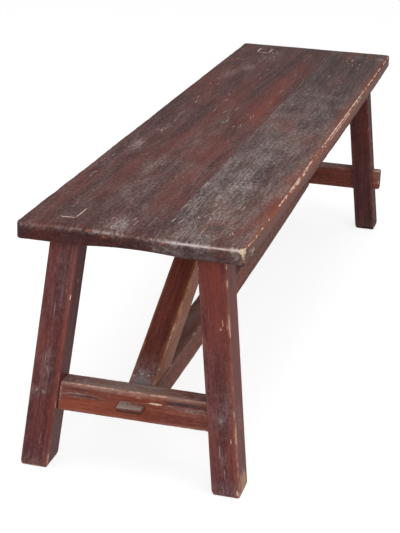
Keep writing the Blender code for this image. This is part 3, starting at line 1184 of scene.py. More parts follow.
def seat_shift(points):
    """How far each point of a straight board moves sideways and up."""
    x, y, z = points.T
    dome = (1 - ((y - hollow_middle) / hollow_half_width) ** 2).clip(0, 1)
    share = ((z - seat_under) / board_thickness).clip(0, 1)
    lift = share * seat_rise(x, y) + (1 - share) * hollow * dome * fade_from_end(x)
    lift -= share * end_drop * (1 - (x + half_length) / end_drop_reach).clip(0, 1) ** 2
    across = ((seam - y) / (seam + back_edge)).clip(0, 1)
    swell = front_bow * (1 - (x / half_length) ** 2) * across
    swell += corner_tuck * (1 - (x + half_length) / corner_tuck_reach).clip(0, 1) ** 2 * across
    return np.column_stack((np.zeros(len(x)), swell, lift))


# %% Moving points to that surface
def warp_board(points):
    """Swell the front edge, crown the top and hollow the underside."""
    return points + seat_shift(points)


def flatten_board(points):
    """Undo the warp of a board, so that distances on it are those of a plain block."""
    return points - seat_shift(points)


def from_end(points):
    """A board's own coordinates: from the near end, across and up from the underside."""
    return points + np.array((half_length, 0, -seat_under))


def plane_tenon(points, surface):
    """Bring the sawn top of a tenon down to the surface of its board."""
    planed = points.copy()
    for row in np.nonzero(points[:, 2] > seat_top - proud_of_block)[0]:
        above = Vector((*points[row, :2], seat_top + overrun))
        planed[row, 2] = surface.ray_cast(above, (0, 0, -1))[0].z
    return planed


# %% [markdown]
# ## The two boards
# A board is a block with two rounded corners. The corners are beveled first and the long edges
# after them, but not the edge that is glued to the other board. Lines scored near the ends
# keep the rounded corners out of the grid.

# %% Board blocks
board_arris = 0.003
board_corner = 0.010
board_spacing = 0.0055


def score(point, normal):
    """In edit mode, draw a line of edges round the piece along a plane."""
    bpy.ops.mesh.select_all(action="SELECT")
    bpy.ops.mesh.bisect(plane_co=point, plane_no=normal)


def board_block(name, inner, outer, finish):
    """The block of one board, its outer corners and edges rounded and its faces gridded."""
    low = (-half_length, min(inner, outer), seat_under)
    high = (half_length, max(inner, outer), seat_top)
    piece = add_block(name, low, high, world_axes, finish)
    edit(piece)
    upright = runs_along((0, 0, 1), 0)
    select(piece, "EDGE", lambda edge: upright(edge) and abs(edge.verts[0].co.y - outer) < gap)
    round_edges(board_corner, 4)
    select(
        piece,
        "EDGE",
        lambda edge: max(abs(vert.co.y - inner) for vert in edge.verts) > gap
        and abs(edge.verts[0].co.z - edge.verts[1].co.z) < gap,
    )
    round_edges(board_arris)
    margin = board_corner + board_arris
    for inset in (2 * board_arris, margin):
        for end in ends.values():
            score((end * (half_length - inset), 0, 0), (1, 0, 0))
        score((0, outer - math.copysign(inset, outer), 0), (0, 1, 0))
    divide_all(piece, world_axes, low, high, margin, board_spacing)
    leave_edit(piece)
    planes = block_planes(low, high, world_axes)
    return piece, [plane for plane in planes if abs(plane[0][1] - inner) > gap or not plane[1][1]]


# %% [markdown]
# The strokes below were read off the real seat: where the finish has gone grey, where the red
# shows through, and where the paint is rubbed off. A row on the top gives the distance from the
# near end, the place across, the half length and half width, and the strength. The noise in the
# finish then breaks the stroke up. Where a strength is below zero, the stroke takes away.

# %% Placing strokes on the seat
skin = 0.008


def on_top(name, rows):
    """Strokes on the top of the seat, from rows of place, reach and strength."""
    return [
        (name, (x, y, board_thickness), (length, width, skin), strength)
        for x, y, length, width, strength in rows
    ]


def on_near_arris(name, rows):
    """Strokes along the upper edge of the near end, from rows of place, reach and strength."""
    return [
        (name, (0, y, board_thickness), (board_arris, width, board_arris), strength)
        for y, width, strength in rows
    ]


def on_near_end(name, rows):
    """Strokes on the near end of the seat, from rows of place, reach and strength."""
    return [
        (name, (0, y, z), (skin, width, height), strength)
        for y, z, width, height, strength in rows
    ]


underside = [
    ("haze", (half_length, 0, 0), (2 * half_length, 1, 0.004), -0.3),
    ("dirt", (half_length, 0, 0), (2 * half_length, 1, 0.004), 0.3),
]

# %% Strokes on the wide board
wide_strokes = on_top("haze", [
    (1.20, 0.07, 0.50, 0.15, -0.08),
    (0.04, 0.022, 0.035, 0.020, 0.75),
    (0.13, 0.035, 0.09, 0.022, 0.3),
    (0.24, 0.067, 0.07, 0.022, 0.4),
    (0.38, 0.080, 0.09, 0.014, 0.4),
    (0.40, 0.022, 0.03, 0.030, 0.35),
    (0.53, 0.152, 0.04, 0.012, 0.5),
    (0.62, 0.045, 0.15, 0.020, 0.2),
    (1.23, 0.142, 0.05, 0.013, 0.5),
    (1.31, 0.112, 0.05, 0.013, 0.5),
    (1.45, 0.095, 0.10, 0.030, 0.25),
]) + on_top("warm", [
    (0.17, 0.165, 0.11, 0.015, 0.35),
    (0.38, 0.112, 0.10, 0.018, 0.45),
    (0.59, 0.092, 0.11, 0.018, 0.6),
    (0.35, -0.008, 0.06, 0.025, 0.4),
    (0.87, -0.008, 0.14, 0.028, 1.0),
    (1.15, -0.008, 0.22, 0.026, 0.7),
    (1.10, 0.165, 0.12, 0.028, 0.6),
    (0.80, 0.075, 0.20, 0.020, 0.35),
]) + on_top("dirt", [
    # This stroke makes the top darker towards its far end.
    (1.40, 0.05, 0.45, 0.15, 0.22),
]) + underside + on_top("worn", [
    (0.0, 0.08, 0.012, 0.12, -0.5),
]) + on_near_end("haze", [
    (0.09, 0.010, 0.12, 0.016, -0.3),
]) + on_near_arris("haze", [
    # These two strokes paint a highlight along the upper edge of the near end.
    (0.10, 0.09, 1.3),
    (-0.01, 0.04, 1.1),
]) + on_near_end("warm", [
    (0.145, 0.018, 0.02, 0.02, 0.35),
    (0.038, 0.018, 0.01, 0.012, 0.5),
])

# %% Strokes on the narrow board
narrow_strokes = on_top("haze", [
    (0.20, -0.085, 0.24, 0.045, 0.35),
    (0.325, -0.083, 0.020, 0.060, 0.45),
    (0.55, -0.090, 0.25, 0.045, 0.2),
    (1.075, -0.105, 0.016, 0.045, 0.6),
    (1.53, -0.175, 0.012, 0.012, 0.8),
    (1.40, -0.115, 0.30, 0.080, -0.2),
]) + on_top("warm", [
    (0.095, -0.109, 0.035, 0.012, 0.6),
    (0.20, -0.148, 0.15, 0.012, 0.5),
    (0.25, -0.182, 0.30, 0.014, 1.0),
    (0.85, -0.184, 0.28, 0.012, 0.9),
    (0.65, -0.150, 0.12, 0.018, 0.3),
    (1.30, -0.188, 0.20, 0.008, 0.5),
]) + on_top("worn", [
    (0.0, -0.08, 0.012, 0.10, -0.75),
    (0.0, -0.192, 0.02, 0.010, 0.3),
    (0.40, -0.192, 0.13, 0.012, 0.55),
    (0.90, -0.192, 0.24, 0.012, 0.5),
    (1.25, -0.192, 0.10, 0.012, 0.2),
]) + on_top("dirt", [
    (0.525, -0.08, 0.03, 0.01, 0.25),
]) + on_near_end("dirt", [
    (-0.136, 0.014, 0.02, 0.012, 0.45),
]) + on_near_end("haze", [
    (-0.186, 0.012, 0.012, 0.02, 0.4),
]) + on_near_end("bare", [
    (-0.190, 0.026, 0.008, 0.006, 0.5),
    (-0.191, 0.010, 0.005, 0.012, 0.27),
]) + on_near_end("worn", [
    (-0.190, 0.015, 0.015, 0.020, -0.75),
    (-0.100, 0.0, 0.200, 0.008, -0.75),
]) + on_near_arris("haze", [
    # These two strokes paint a highlight along the upper edge of the near end.
    (-0.11, 0.08, 2.0),
    (-0.18, 0.02, 1.2),
]) + on_near_arris("bare", [
    # This stroke pales the same edge: partly rubbed wood and partly a painted highlight.
    (-0.15, 0.06, 0.35),
]) + [
    ("bare", (half_length, -back_edge, board_thickness), (half_length, 0.003, 0.004), 0.5),
    ("haze", (half_length, -back_edge, 0), (2 * half_length, 0.005, 0.1), -0.35),
    ("dirt", (half_length, -back_edge, 0), (2 * half_length, 0.005, 0.03), 0.38),
    ("warm", (0.95, -back_edge, 0), (0.8, 0.005, 0.03), 1.5),
    # This stroke pales the middle of the front top edge: partly rubbed wood, partly painted
    # highlight.
    ("bare", (0.80, -back_edge, board_thickness), (0.12, 0.003, 0.004), 0.2),
    ("worn", (half_length, -back_edge, 0), (2 * half_length, 0.005, 0.017), 0.4),
    ("bare", (0.02, -back_edge, 0.014), (0.11, 0.006, 0.02), 0.45),
    ("haze", (0.03, -back_edge, 0.014), (0.12, 0.006, 0.02), 0.15),
    # These two strokes make the top darker and less hazy towards its far end.
    ("dirt", (1.45, -0.1, board_thickness), (0.40, 0.15, skin), 0.36),
    ("haze", (1.45, -0.1, board_thickness), (0.40, 0.15, skin), -0.1),
] + underside

# %% [markdown]
# Scratches are thin scoops in the top. They lie in fields: a row gives the middle of a field,
# its half length and half width, and how many scratches it holds. The last field of each board
# is thin and covers nearly all of it.

# %% Scratches on the seat
scratch_length = 0.015
scratch_width = 0.0009
scratch_depth = 0.0006
scratch_widths = (0.6, 1.3)
scratch_lean = 0.15
wide_fields = [
    (0.80, 0.139, 0.16, 0.007, 15),
    (0.82, 0.037, 0.08, 0.005, 9),
    (0.745, 0.002, 0.015, 0.008, 4),
    (0.83, -0.008, 0.03, 0.003, 3),
    (1.48, 0.114, 0.06, 0.003, 6),
    (1.48, 0.082, 0.05, 0.012, 7),
    (0.28, 0.165, 0.05, 0.002, 4),
    (0.405, 0.066, 0.015, 0.002, 2),
    (0.53, 0.152, 0.03, 0.009, 7),
    (0.04, 0.022, 0.03, 0.018, 12),
    (0.80, 0.08, 0.75, 0.11, 40),
]
narrow_fields = [
    (0.20, -0.09, 0.22, 0.05, 30),
    (0.055, -0.113, 0.01, 0.01, 4),
    (0.63, -0.088, 0.03, 0.002, 2),
    (0.90, -0.123, 0.02, 0.003, 3),
    (1.50, -0.10, 0.03, 0.003, 3),
    (1.53, -0.175, 0.01, 0.01, 3),
    (0.80, -0.12, 0.75, 0.06, 30),
]


def scratches(surface, fields, seed):
    """Thin scoops that run roughly with the grain."""
    draw = random.Random(seed)
    found = []
    for x, y, reach_x, reach_y, count in fields:
        for _ in range(count):
            along = x - half_length + draw.uniform(-1, 1) * reach_x
            place = (along, y + draw.uniform(-1, 1) * reach_y, seat_top)
            turn = draw.gauss(0, scratch_lean)
            length = scratch_length * draw.uniform(*mark_lengths)
            width = scratch_width * draw.uniform(*scratch_widths)
            size = (length, width, scratch_depth)
            run = (math.cos(turn), math.sin(turn), 0)
            found.append(scoop(surface, place, run, size, dull_line))
    return found


# %% [markdown]
# The tops of the legs' tenons lie in the seat. Where the edge of a mortise has broken out beside
# one, a pale line shows. A row gives the line's middle from the near end, its place across, its
# half length and its direction.

# %% Outlines of the tenons
outline_width = 0.0016
lengthwise = (1, 0, 0)
crosswise = (0, 1, 0)
wide_lines = [
    (0.077, 0.1056, 0.027, lengthwise),
    (0.0472, 0.119, 0.014, crosswise),
    (1.525, 0.1055, 0.028, lengthwise),
    (1.525, 0.1355, 0.028, lengthwise),
    (1.4965, 0.121, 0.014, crosswise),
]
narrow_lines = [
    (1.50, -0.112, 0.020, lengthwise),
]


def tenon_lines(surface, rows):
    """Long thin scoops beside the tenons."""
    found = []
    for x, y, length, run in rows:
        size = (length, outline_width, scratch_depth)
        found.append(scoop(surface, (x - half_length, y, seat_top), run, size, pale_line))
    return found


# %% [markdown]
# Chips are larger scoops along an edge. The front edge has the most, because everyone brushes
# past it, and they lie in clusters. A row gives a stretch of the edge as two shares of its
# length, the number of chips, their half length, their depth and their finish. A few chips in
# the near end have a place of their own: across, up, half length, depth and finish.

# %% Chips on the seat
front_chip_shares = [
    (0.0, 0.02, 4, 0.008, 0.0010, pale_line),
    (0.02, 0.18, 9, 0.010, 0.0009, pale_chip),
    (0.18, 0.34, 24, 0.020, 0.0010, pale_line),
    (0.34, 0.44, 8, 0.010, 0.0009, pale_chip),
    (0.44, 0.69, 40, 0.022, 0.0010, pale_line),
    (0.69, 0.98, 30, 0.016, 0.0009, pale_line),
]
near_end_chip_shares = [
    (0.02, 0.30, 3, 0.004, 0.0012, brown_chip),
    (0.31, 0.34, 2, 0.005, 0.0022, brown_chip),
    (0.44, 0.60, 1, 0.006, 0.0010, pale_chip),
    (0.60, 0.64, 1, 0.004, 0.0018, brown_chip),
]
near_spots = [
    (0.154, 0.443, 0.004, 0.0016, brown_chip),
    (0.0385, 0.4435, 0.0065, 0.0026, brown_chip),
    (-0.0515, 0.4425, 0.0035, 0.002, brown_chip),
]
spot_height_share = 0.6


def end_spots(surface, low, high):
    """The chips in the near end of one board."""
    found = []
    for y, z, length, depth, finish in near_spots:
        if low < y < high:
            size = (length, length * spot_height_share, depth)
            found.append(scoop(surface, (-half_length, y, z), crosswise, size, finish))
    return found


# %% Joints of the boards
def joints_of(side_name):
    """What is cut out of a board: mortises, sockets of the braces, and holes."""
    cutters = [mortise(*leg_tenon(end, side_name), leg_axes(end, side_name)[0], gap) for end in ends]
    for end in ends.values():
        cutters.append(brace_socket(end))
        cutters += nail_holes(end, "head")
    for name in dowel_names:
        low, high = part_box(name)
        half = (high.y - low.y) / 2 + gap
        axes = axes_at((low + high) / 2, (1, 0, 0), (0, 0, 1))
        cutters.append(drill((high.x - low.x) / 2 + gap, -half, half, axes))
    return cutters


# %% Make the boards
near_back = (-half_length, back_edge, seat_top)
near_front = (-half_length, -back_edge, seat_top)
far_front = (half_length, -back_edge, seat_top)
seat_surfaces = {}


def worn_board(name, side_name, inner, outer, finish, wear):
    """A weathered and warped board, its planes and its surface, which the tenons need too."""
    board, planes = board_block(name, inner, outer, finish)
    weather(board, world_axes, planes, board_arris, dips=0.0012, wear=wear)
    shape(board, warp_board)
    seat_surfaces[side_name] = surface_of(board)
    return board, planes, seat_surfaces[side_name]


wide, planes, surface = worn_board("wide", "back", wide_low.y, back_edge, red_board, 0.0014)
marks = scratches(surface, wide_fields, seed=11) + tenon_lines(surface, wide_lines)
marks += chips_along(surface, near_back, near_front, near_end_chip_shares, seed=7)
marks += end_spots(surface, seam, back_edge)
combine(wide, [*scoops(marks), *joints_of("back")])
base = {"haze": 0.2, "worn": 0.4, "warm": 0.1}
season(wide, from_end, planes, 0.31, base, wide_strokes, flatten_board)
complete(wide, "seat_board_wide")

narrow, planes, surface = worn_board(
    "narrow", "front", narrow_high.y, -back_edge, grey_board, 0.002
)
marks = scratches(surface, narrow_fields, seed=12) + tenon_lines(surface, narrow_lines)
marks += chips_along(surface, near_front, far_front, front_chip_shares, seed=4)
marks += end_spots(surface, -back_edge, seam)
combine(narrow, [*scoops(marks), *joints_of("front")])
base = {"haze": 0.36, "worn": 0.75}
season(narrow, from_end, planes, 0.77, base, narrow_strokes, flatten_board)
complete(narrow, "seat_board_narrow")

# %% [markdown]
# ## The legs
# Each leg leans two ways, so it is made along its own axes and then sawn level at the floor and
# under the seat. Strokes and scars on a leg are given up from its foot, in from its end face and
# in from its outer side. The feet are dirty and rubbed on every leg, and the two near legs have
# marks of their own.

# %% Placing strokes on a leg
leg_arris = 0.002
leg_spacing = 0.004
half_depth = leg_depth / 2
half_side = leg_width / 2
corner_reach = 0.01
side_reach = 0.04
round_reach = 0.1


def on_leg_end(name, rows):
    """Strokes on a leg's end face: up the leg, across it, half length, half width, strength."""
    return [
        (name, (up_leg, 0, across), (length, skin, width), strength)
        for up_leg, across, length, width, strength in rows
    ]


def on_leg_side(name, rows):
    """Strokes on a leg's outer side: up the leg, half length, strength."""
    return [
        (name, (up_leg, half_depth, 0), (length, side_reach, skin), strength)
        for up_leg, length, strength in rows
    ]


def on_leg_corner(name, rows):
    """Strokes on a leg's outermost corner: up the leg, half length, strength."""
    return [
        (name, (up_leg, 0, 0), (length, corner_reach, corner_reach), strength)
        for up_leg, length, strength in rows
    ]


def round_leg(name, rows):
    """Strokes that go all round a leg: up the leg, half length, strength."""
    return [
        (name, (up_leg, half_depth, half_side), (length, round_reach, round_reach), strength)
        for up_leg, length, strength in rows
    ]


# %% Strokes on the legs
shared_leg_strokes = round_leg("bare", [
    (0, 0.007, 0.5),
]) + round_leg("haze", [
    (0, 0.026, 0.75),
    (0.45, 0.015, 0.4),
]) + round_leg("worn", [
    (0, 0.03, 0.35),
]) + round_leg("dirt", [
    (0, 0.010, 0.25),
    # This stroke is painted shade on each leg just under the seat.
    (0.43, 0.03, 0.2),
    (0.455, 0.015, -0.45),
])
leg_strokes = {
    ("left", "back"): on_leg_end("haze", [
        (0.20, half_side, 0.03, 0.010, 0.7),
        (0.145, 0.010, 0.010, 0.012, 1.0),
        (0.37, 0.020, 0.07, 0.030, 0.35),
    ]) + on_leg_end("warm", [
        (0.22, 0.045, 0.25, 0.008, 0.5),
    ]) + on_leg_end("bare", [
        (0.0, half_side, 0.03, 0.03, 0.35),
    ]),
    ("left", "front"): on_leg_end("warm", [
        (0.37, half_side, 0.10, 0.030, 0.45),
        (0.07, 0.020, 0.05, 0.030, 0.5),
    ]) + on_leg_end("haze", [
        (0.18, half_side, 0.06, 0.030, 0.35),
        (0.142, half_side, 0.006, 0.008, 0.8),
        (0.075, half_side, 0.015, 0.006, 0.6),
    ]) + on_leg_corner("worn", [
        (0.377, 0.010, 0.7),
        (0.305, 0.022, 0.8),
        (0.10, 0.09, 0.45),
    ]) + on_leg_side("warm", [
        (0.25, 0.25, 0.8),
    ]) + on_leg_side("bare", [
        (0.22, 0.20, 0.3),
        (0.02, 0.03, 0.5),
    ]) + on_leg_side("haze", [
        (0.125, 0.035, 0.7),
        (0.03, 0.040, 0.5),
    ]) + round_leg("warm", [
        (0.45, 0.012, 0.5),
    ]),
}

# %% Scars on the legs
leg_scars = {
    ("left", "back"): [
        (0.295, 0, half_side, 0.014, 0.0009, grey_scuff),
        (0.205, 0, 0.020, 0.010, 0.0012, grey_scuff),
        (0.190, 0, 0.026, 0.006, 0.0009, grey_scuff),
        (0.147, 0, 0.012, 0.003, 0.0014, pale_chip),
        (0.345, half_depth, leg_width, 0.004, 0.0010, pale_chip),
        (0.060, 0, 0.030, 0.012, 0.0008, grey_scuff),
    ],
    ("left", "front"): [
        (0.310, 0, 0.012, 0.006, 0.0012, pale_chip),
        (0.300, 0, 0.016, 0.003, 0.0014, pale_chip),
        (0.303, 0, 0.004, 0.004, 0.0010, pale_chip),
        (0.142, 0, half_side, 0.004, 0.0016, pale_chip),
        (0.105, 0, 0.010, 0.005, 0.0010, pale_chip),
        (0.128, 0.002, 0.001, 0.011, 0.0020, pale_chip),
        (0.152, 0.001, 0.002, 0.006, 0.0016, pale_chip),
        (0.045, 0, 0.024, 0.010, 0.0009, grey_scuff),
        (0.085, 0, 0.030, 0.012, 0.0010, grey_scuff),
        (0.012, 0, 0.004, 0.006, 0.0020, pale_chip),
    ],
}
leg_chip_shares = [
    (0.0, 0.04, 1, 0.004, 0.0016, pale_chip),
    (0.04, 0.95, 3, 0.008, 0.0010, pale_chip),
    (0.04, 0.95, 2, 0.006, 0.0010, brown_chip),
]


def leg_marks(leg, axes, run, side_signs, scars, seed):
    """The scars of a leg, each with its half length, half width and finish, and the chips along
    its four edges."""
    surface = surface_of(leg)
    outward = np.array((1, *side_signs))
    marks = []
    for up_leg, inward, across, length, width, finish in scars:
        place = axes @ Vector(outward * (up_leg, inward, across))
        size = (length, width, scratch_depth)
        marks.append(scoop(surface, place, axes.to_3x3().col[0], size, finish))
    for inward, across in ((0, 0), (0, leg_width), (leg_depth, 0), (leg_depth, leg_width)):
        foot = axes @ Vector(outward * (0, inward, across))
        top = axes @ Vector(outward * (run, inward, across))
        marks += chips_along(surface, foot, top, leg_chip_shares, seed + len(marks))
    return marks


# %% [markdown]
# A foot that is dragged over floors gets a little thinner at its sole, so the last stretch of
# each leg is drawn in towards its middle line. The tenon on the head is a second block, joined
# on. It was planed and painted with the seat, so it has the finish of its board.

# %% Shape a leg
foot_reach = 0.010
foot_draw = 0.11
tenon_cuts = 7


def wear_foot(points, middle, lean):
    """Draw the last stretch above the floor in towards the leg's middle line."""
    heights = points[:, 2:]
    line = np.array(middle) + heights * np.array(lean / lean.z)
    return points - (points - line) * foot_draw * (1 - heights / foot_reach).clip(0, 1) ** 2


def shape_leg(axes, run, side_signs):
    """A leg's block, sawn level at both ends and worn, and its planes."""
    outward = np.array((1, *side_signs))
    low = (-overrun, 0, 0)
    high = tuple(outward * (run + overrun, leg_depth, leg_width))
    saws = [((0, 0, 0), (0, 0, -1)), ((0, 0, seat_under - gap), (0, 0, 1))]
    leg = timber("leg", low, high, axes, saws, leg_arris, leg_spacing, leg_wood)
    planes = block_planes(low, high, axes, saws)
    weather(leg, axes, planes, leg_arris, dips=0.0008, wear=0.0012)
    lean = axes.to_3x3().col[0]
    middle = axes @ Vector(outward * (0, half_depth, half_side))
    middle -= lean * middle.z / lean.z
    shape(leg, lambda points: wear_foot(points, middle, lean))
    return leg, planes


def add_head_tenon(leg, end_name, side_name, axes):
    """Join the tenon on a leg's head and plane it level with its board."""
    board_finish = red_board if side_name == "back" else grey_board
    tenon = add_block("tenon", *leg_tenon(end_name, side_name), axes, board_finish)
    edit(tenon)
    saw((0, 0, seat_top), (0, 0, 1))
    bpy.ops.mesh.select_all(action="SELECT")
    bpy.ops.mesh.subdivide(number_cuts=tenon_cuts)
    leave_edit(tenon)
    combine(leg, [tenon], "UNION")
    shape(leg, lambda points: plane_tenon(points, seat_surfaces[side_name]))


# %% Make the legs
leg_figures = {
    ("left", "front"): 5.35,
    ("left", "back"): 5.18,
    ("right", "front"): 5.95,
    ("right", "back"): 5.78,
}


def make_leg(end_name, side_name, figure):
    """One leg with its tenon, its holes and its wear."""
    side_signs = (-ends[end_name], -sides[side_name])
    axes, run = leg_axes(end_name, side_name)
    leg, planes = shape_leg(axes, run, side_signs)
    add_head_tenon(leg, end_name, side_name, axes)
    scars = leg_scars.get((end_name, side_name), [])
    marks = leg_marks(leg, axes, run, side_signs, scars, round(100 * figure))
    hole = mortise(*rail_tenon(end_name, overrun), world_axes, gap)
    combine(leg, [*scoops(marks), hole, peg_hole(end_name, side_name)])
    own = in_axes(axes)
    # The two far legs are darkened all over with painted shade.
    base = {"worn": 0.72, "haze": 0.04, "dirt": 0.42 if end_name == "right" else 0.0}
    strokes = shared_leg_strokes + leg_strokes.get((end_name, side_name), [])
    season(leg, lambda points: own(points) * (1, *side_signs), planes, figure, base, strokes)
    complete(leg, "leg_{}_{}".format(side_name, end_name))


for (end_name, side_name), figure in leg_figures.items():
    make_leg(end_name, side_name, figure)

# %% [markdown]
# ## The end stretchers
# A rail is shouldered against both legs, and its tenons run right through them. The near one's
# tenons were sawn flush, and the far one's still stand proud, with rubbed rims. The near rail
# has had knocks: long gouges with scuffs beside them, a few chips, and a patch where the finish
# has worn to orange. Its strokes are given along the rail and down from its top.

# %% Strokes on the end stretchers
rail_arris = 0.0018
rail_spacing = 0.003
near_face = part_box("end_stretcher_left")[0].x
rail_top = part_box("end_stretcher_left")[1].z
rim_length = 0.012
rim_width = 0.0035
rim_bareness = 0.42


def on_near_face(name, rows, inward=skin):
    """Strokes on the near rail's outer face: along, down, half length, half height, strength."""
    return [
        (name, (along, near_face, rail_top - down), (length, inward, height), strength)
        for along, down, length, height, strength in rows
    ]


near_rail_strokes = on_near_face("warm", [
    (-0.014, 0.008, 0.045, 0.010, 0.9),
    (0.05, 0.035, 0.15, 0.020, 0.3),
]) + on_near_face("bare", [
    (-0.014, 0.008, 0.040, 0.007, 0.38),
]) + on_near_face("worn", [
    (0, 0, 0.20, 0.006, 0.45),
    (-0.10, 0.0535, 0.05, 0.006, 0.5),
], inward=0.006) + on_near_face("dirt", [
    (-0.083, 0.010, 0.035, 0.005, 0.4),
    (0.10, 0.010, 0.060, 0.006, 0.45),
    (0.05, 0.044, 0.060, 0.004, 0.2),
    # This stroke is painted shade on the upper part of the outer face, near its front end.
    (-0.13, 0.010, 0.035, 0.010, 0.35),
    (-0.06, 0.050, 0.080, 0.005, 0.35),
]) + on_near_face("haze", [
    (-0.10, 0.020, 0.040, 0.005, 0.6),
    (0.093, 0.020, 0.030, 0.005, 0.6),
]) + on_near_face("haze", [
    (0.0, 0.0005, 0.17, 0.003, 0.7),
], inward=0.004) + on_near_face("worn", [
    (0.130, 0.020, 0.006, 0.02, 0.8),
], inward=0.01) + on_near_face("bare", [
    (0.132, 0.022, 0.004, 0.025, 0.7),
], inward=0.01) + [
    ("bare", (-0.185, -0.75, rail_top - 0.025), (0.012, 0.05, 0.03), 0.35),
]
tenon_low, tenon_high = rail_tenon("right")
far_rail_strokes = []
for y in (tenon_low[1], tenon_high[1]):
    for x in (tenon_low[0], tenon_high[0]):
        reach = (rim_length, rim_width, 1)
        far_rail_strokes.append(("bare", (y, x, tenon_low[2]), reach, rim_bareness))
    for z in (tenon_low[2], tenon_high[2]):
        reach = (rim_length, 1, rim_width)
        far_rail_strokes.append(("bare", (y, tenon_low[0], z), reach, rim_bareness))

# %% Scars on the end stretchers
near_rail_scars = [
    (-0.083, 0.0110, 0.027, 0.0026, 0.0018, dark_gouge),
    (-0.085, 0.0165, 0.026, 0.0014, 0.0008, dull_scuff),
    (0.095, 0.0185, 0.026, 0.0012, 0.0009, dull_scuff),
    (0.088, 0.0215, 0.028, 0.0018, 0.0014, dark_gouge),
    (-0.040, 0.0165, 0.012, 0.0018, 0.0010, pale_chip),
    (0.059, 0.0240, 0.008, 0.0018, 0.0008, brown_chip),
    (0.131, 0.0300, 0.003, 0.0050, 0.0010, pale_chip),
    (-0.125, 0.0520, 0.006, 0.0020, 0.0012, pale_chip),
    (-0.100, 0.0530, 0.008, 0.0018, 0.0012, pale_chip),
    (0.110, 0.0520, 0.009, 0.0014, 0.0010, brown_chip),
]
rail_chip_shares = [
    (0.0, 1.0, 5, 0.010, 0.0010, pale_chip),
    (0.0, 1.0, 3, 0.007, 0.0009, brown_chip),
]
rail_chip_reach = 0.14


def rail_marks(rail, outer, low, high, scars):
    """The scars in the outer face of a rail, and the chips along its two outer edges."""
    surface = surface_of(rail)
    marks = []
    for along, down, length, height, depth, finish in scars:
        place = (outer, along, rail_top - down)
        marks.append(scoop(surface, place, crosswise, (length, height, depth), finish))
    for z in (low.z, high.z):
        start = (outer, -rail_chip_reach, z)
        stop = (outer, rail_chip_reach, z)
        marks += chips_along(surface, start, stop, rail_chip_shares, seed=round(z * 1000))
    return marks


# %% Shape a rail
proud_tenon_arris = 0.0045


def shape_rail(end_name, low, high):
    """A rail's block between its shoulders, with the bar of its tenons joined on."""
    level = axes_at((0, 0, 0), (0, 1, 0), (-1, 0, 0))
    corner_low = (-back_edge, -low.x, low.z)
    corner_high = (back_edge, -high.x, high.z)
    saws = [leg_face(end_name, side_name, leg_width + gap) for side_name in sides]
    rail = timber("rail", corner_low, corner_high, level, saws, rail_arris, rail_spacing, rail_wood)
    planes = block_planes(corner_low, corner_high, level, saws)
    weather(rail, level, planes, rail_arris, dips=0.0008, wear=0.0012)
    tenon = add_block("tenon", *rail_tenon(end_name), world_axes, rail_wood)
    edit(tenon)
    if end_name == "right":
        round_edges(proud_tenon_arris)
    else:
        for side_name in sides:
            saw(*leg_face(end_name, side_name, gap))
    leave_edit(tenon)
    combine(rail, [tenon], "UNION")
    return rail, planes


# %% Make the end stretchers
def rail_places(points):
    """An end stretcher's own coordinates: along it, out of it and up."""
    return points[:, (1, 0, 2)]


def make_rail(end_name, figure, strokes, scars):
    """One end stretcher with its tenons and the flat mortise in its middle."""
    low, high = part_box("end_stretcher_" + end_name)
    outer = high.x if end_name == "right" else low.x
    rail, planes = shape_rail(end_name, low, high)
    cutters = [peg_hole(end_name, side_name) for side_name in sides]
    cutters.append(mortise(*long_tenon(end_name), world_axes, gap))
    combine(rail, [*scoops(rail_marks(rail, outer, low, high, scars)), *cutters])
    base = {"worn": 0.75, "warm": 0.1}
    top_haze = ("haze", (0, (low.x + high.x) / 2, high.z), (0.3, 0.1, 0.006), 1.29)
    season(rail, rail_places, planes, figure, base, [*strokes, top_haze])
    complete(rail, "end_stretcher_" + end_name)


make_rail("left", 1.3, near_rail_strokes, near_rail_scars)
make_rail("right", 1.9, far_rail_strokes, [])

# %% [markdown]
# ## The long stretcher
# The rail from end to end was sawn from timber that had moved, so it is a little bowed. It is
# made straight, and its points are then shifted sideways by a smooth rule. Its top has greyed,
# most of all on the flat tenons that stand out of the end stretchers.

# %% Shape the long stretcher
long_spacing = 0.006
long_tenon_arris = 0.0022
long_reach = rail_inner - gap


def bend(points, direction=1):
    """Shift points sideways along the long stretcher, or back again."""
    x, y, z = points.T
    return np.column_stack((x, y + direction * sway(x), z))


low = (-long_reach, -long_width / 2, long_low.z)
high = (long_reach, long_width / 2, long_high.z)
beam = timber("long", low, high, world_axes, [], rail_arris, long_spacing, rail_wood)
planes = block_planes(low, high, world_axes)
weather(beam, world_axes, planes, rail_arris, dips=0.001, wear=0.0012)
shape(beam, bend)
tenons = []
for end_name in ends:
    tenon = add_block("tenon", *long_tenon(end_name), world_axes, rail_wood)
    edit(tenon)
    round_edges(long_tenon_arris)
    leave_edit(tenon)
    tenons.append(tenon)
combine(beam, tenons, "UNION")

# %% Age the long stretcher
long_chip_shares = [(0, 1, 18, 0.012, 0.0012, pale_chip)]
tenon_top = long_high.z - long_tenon_drop
beam_strokes = [
    ("haze", (0, 0, long_high.z), (1.2, 0.1, 0.008), 0.8),
    ("haze", (long_low.x, 0, tenon_top), (0.03, 0.1, 0.0015), 1.5),
    ("dirt", (long_low.x, 0, tenon_top), (0.03, 0.1, 0.0015), -0.6),
    ("dirt", (long_low.x, 0, long_high.z - 0.015), (0.004, 0.1, 0.004), 0.2),
    ("bare", (-0.62, 0, long_high.z), (0.05, 0.02, 0.006), 0.3),
]
marks = []
surface = surface_of(beam)
for side in sides.values():
    start = (-long_reach, side * long_width / 2, long_high.z)
    stop = (long_reach, side * long_width / 2, long_high.z)
    marks += chips_along(surface, start, stop, long_chip_shares, seed=31 + side)
cutters = scoops(marks)
for end in ends.values():
    cutters += nail_holes(end, "foot")
combine(beam, cutters)
base = {"worn": 0.8, "dirt": 0.37, "warm": 0.2}
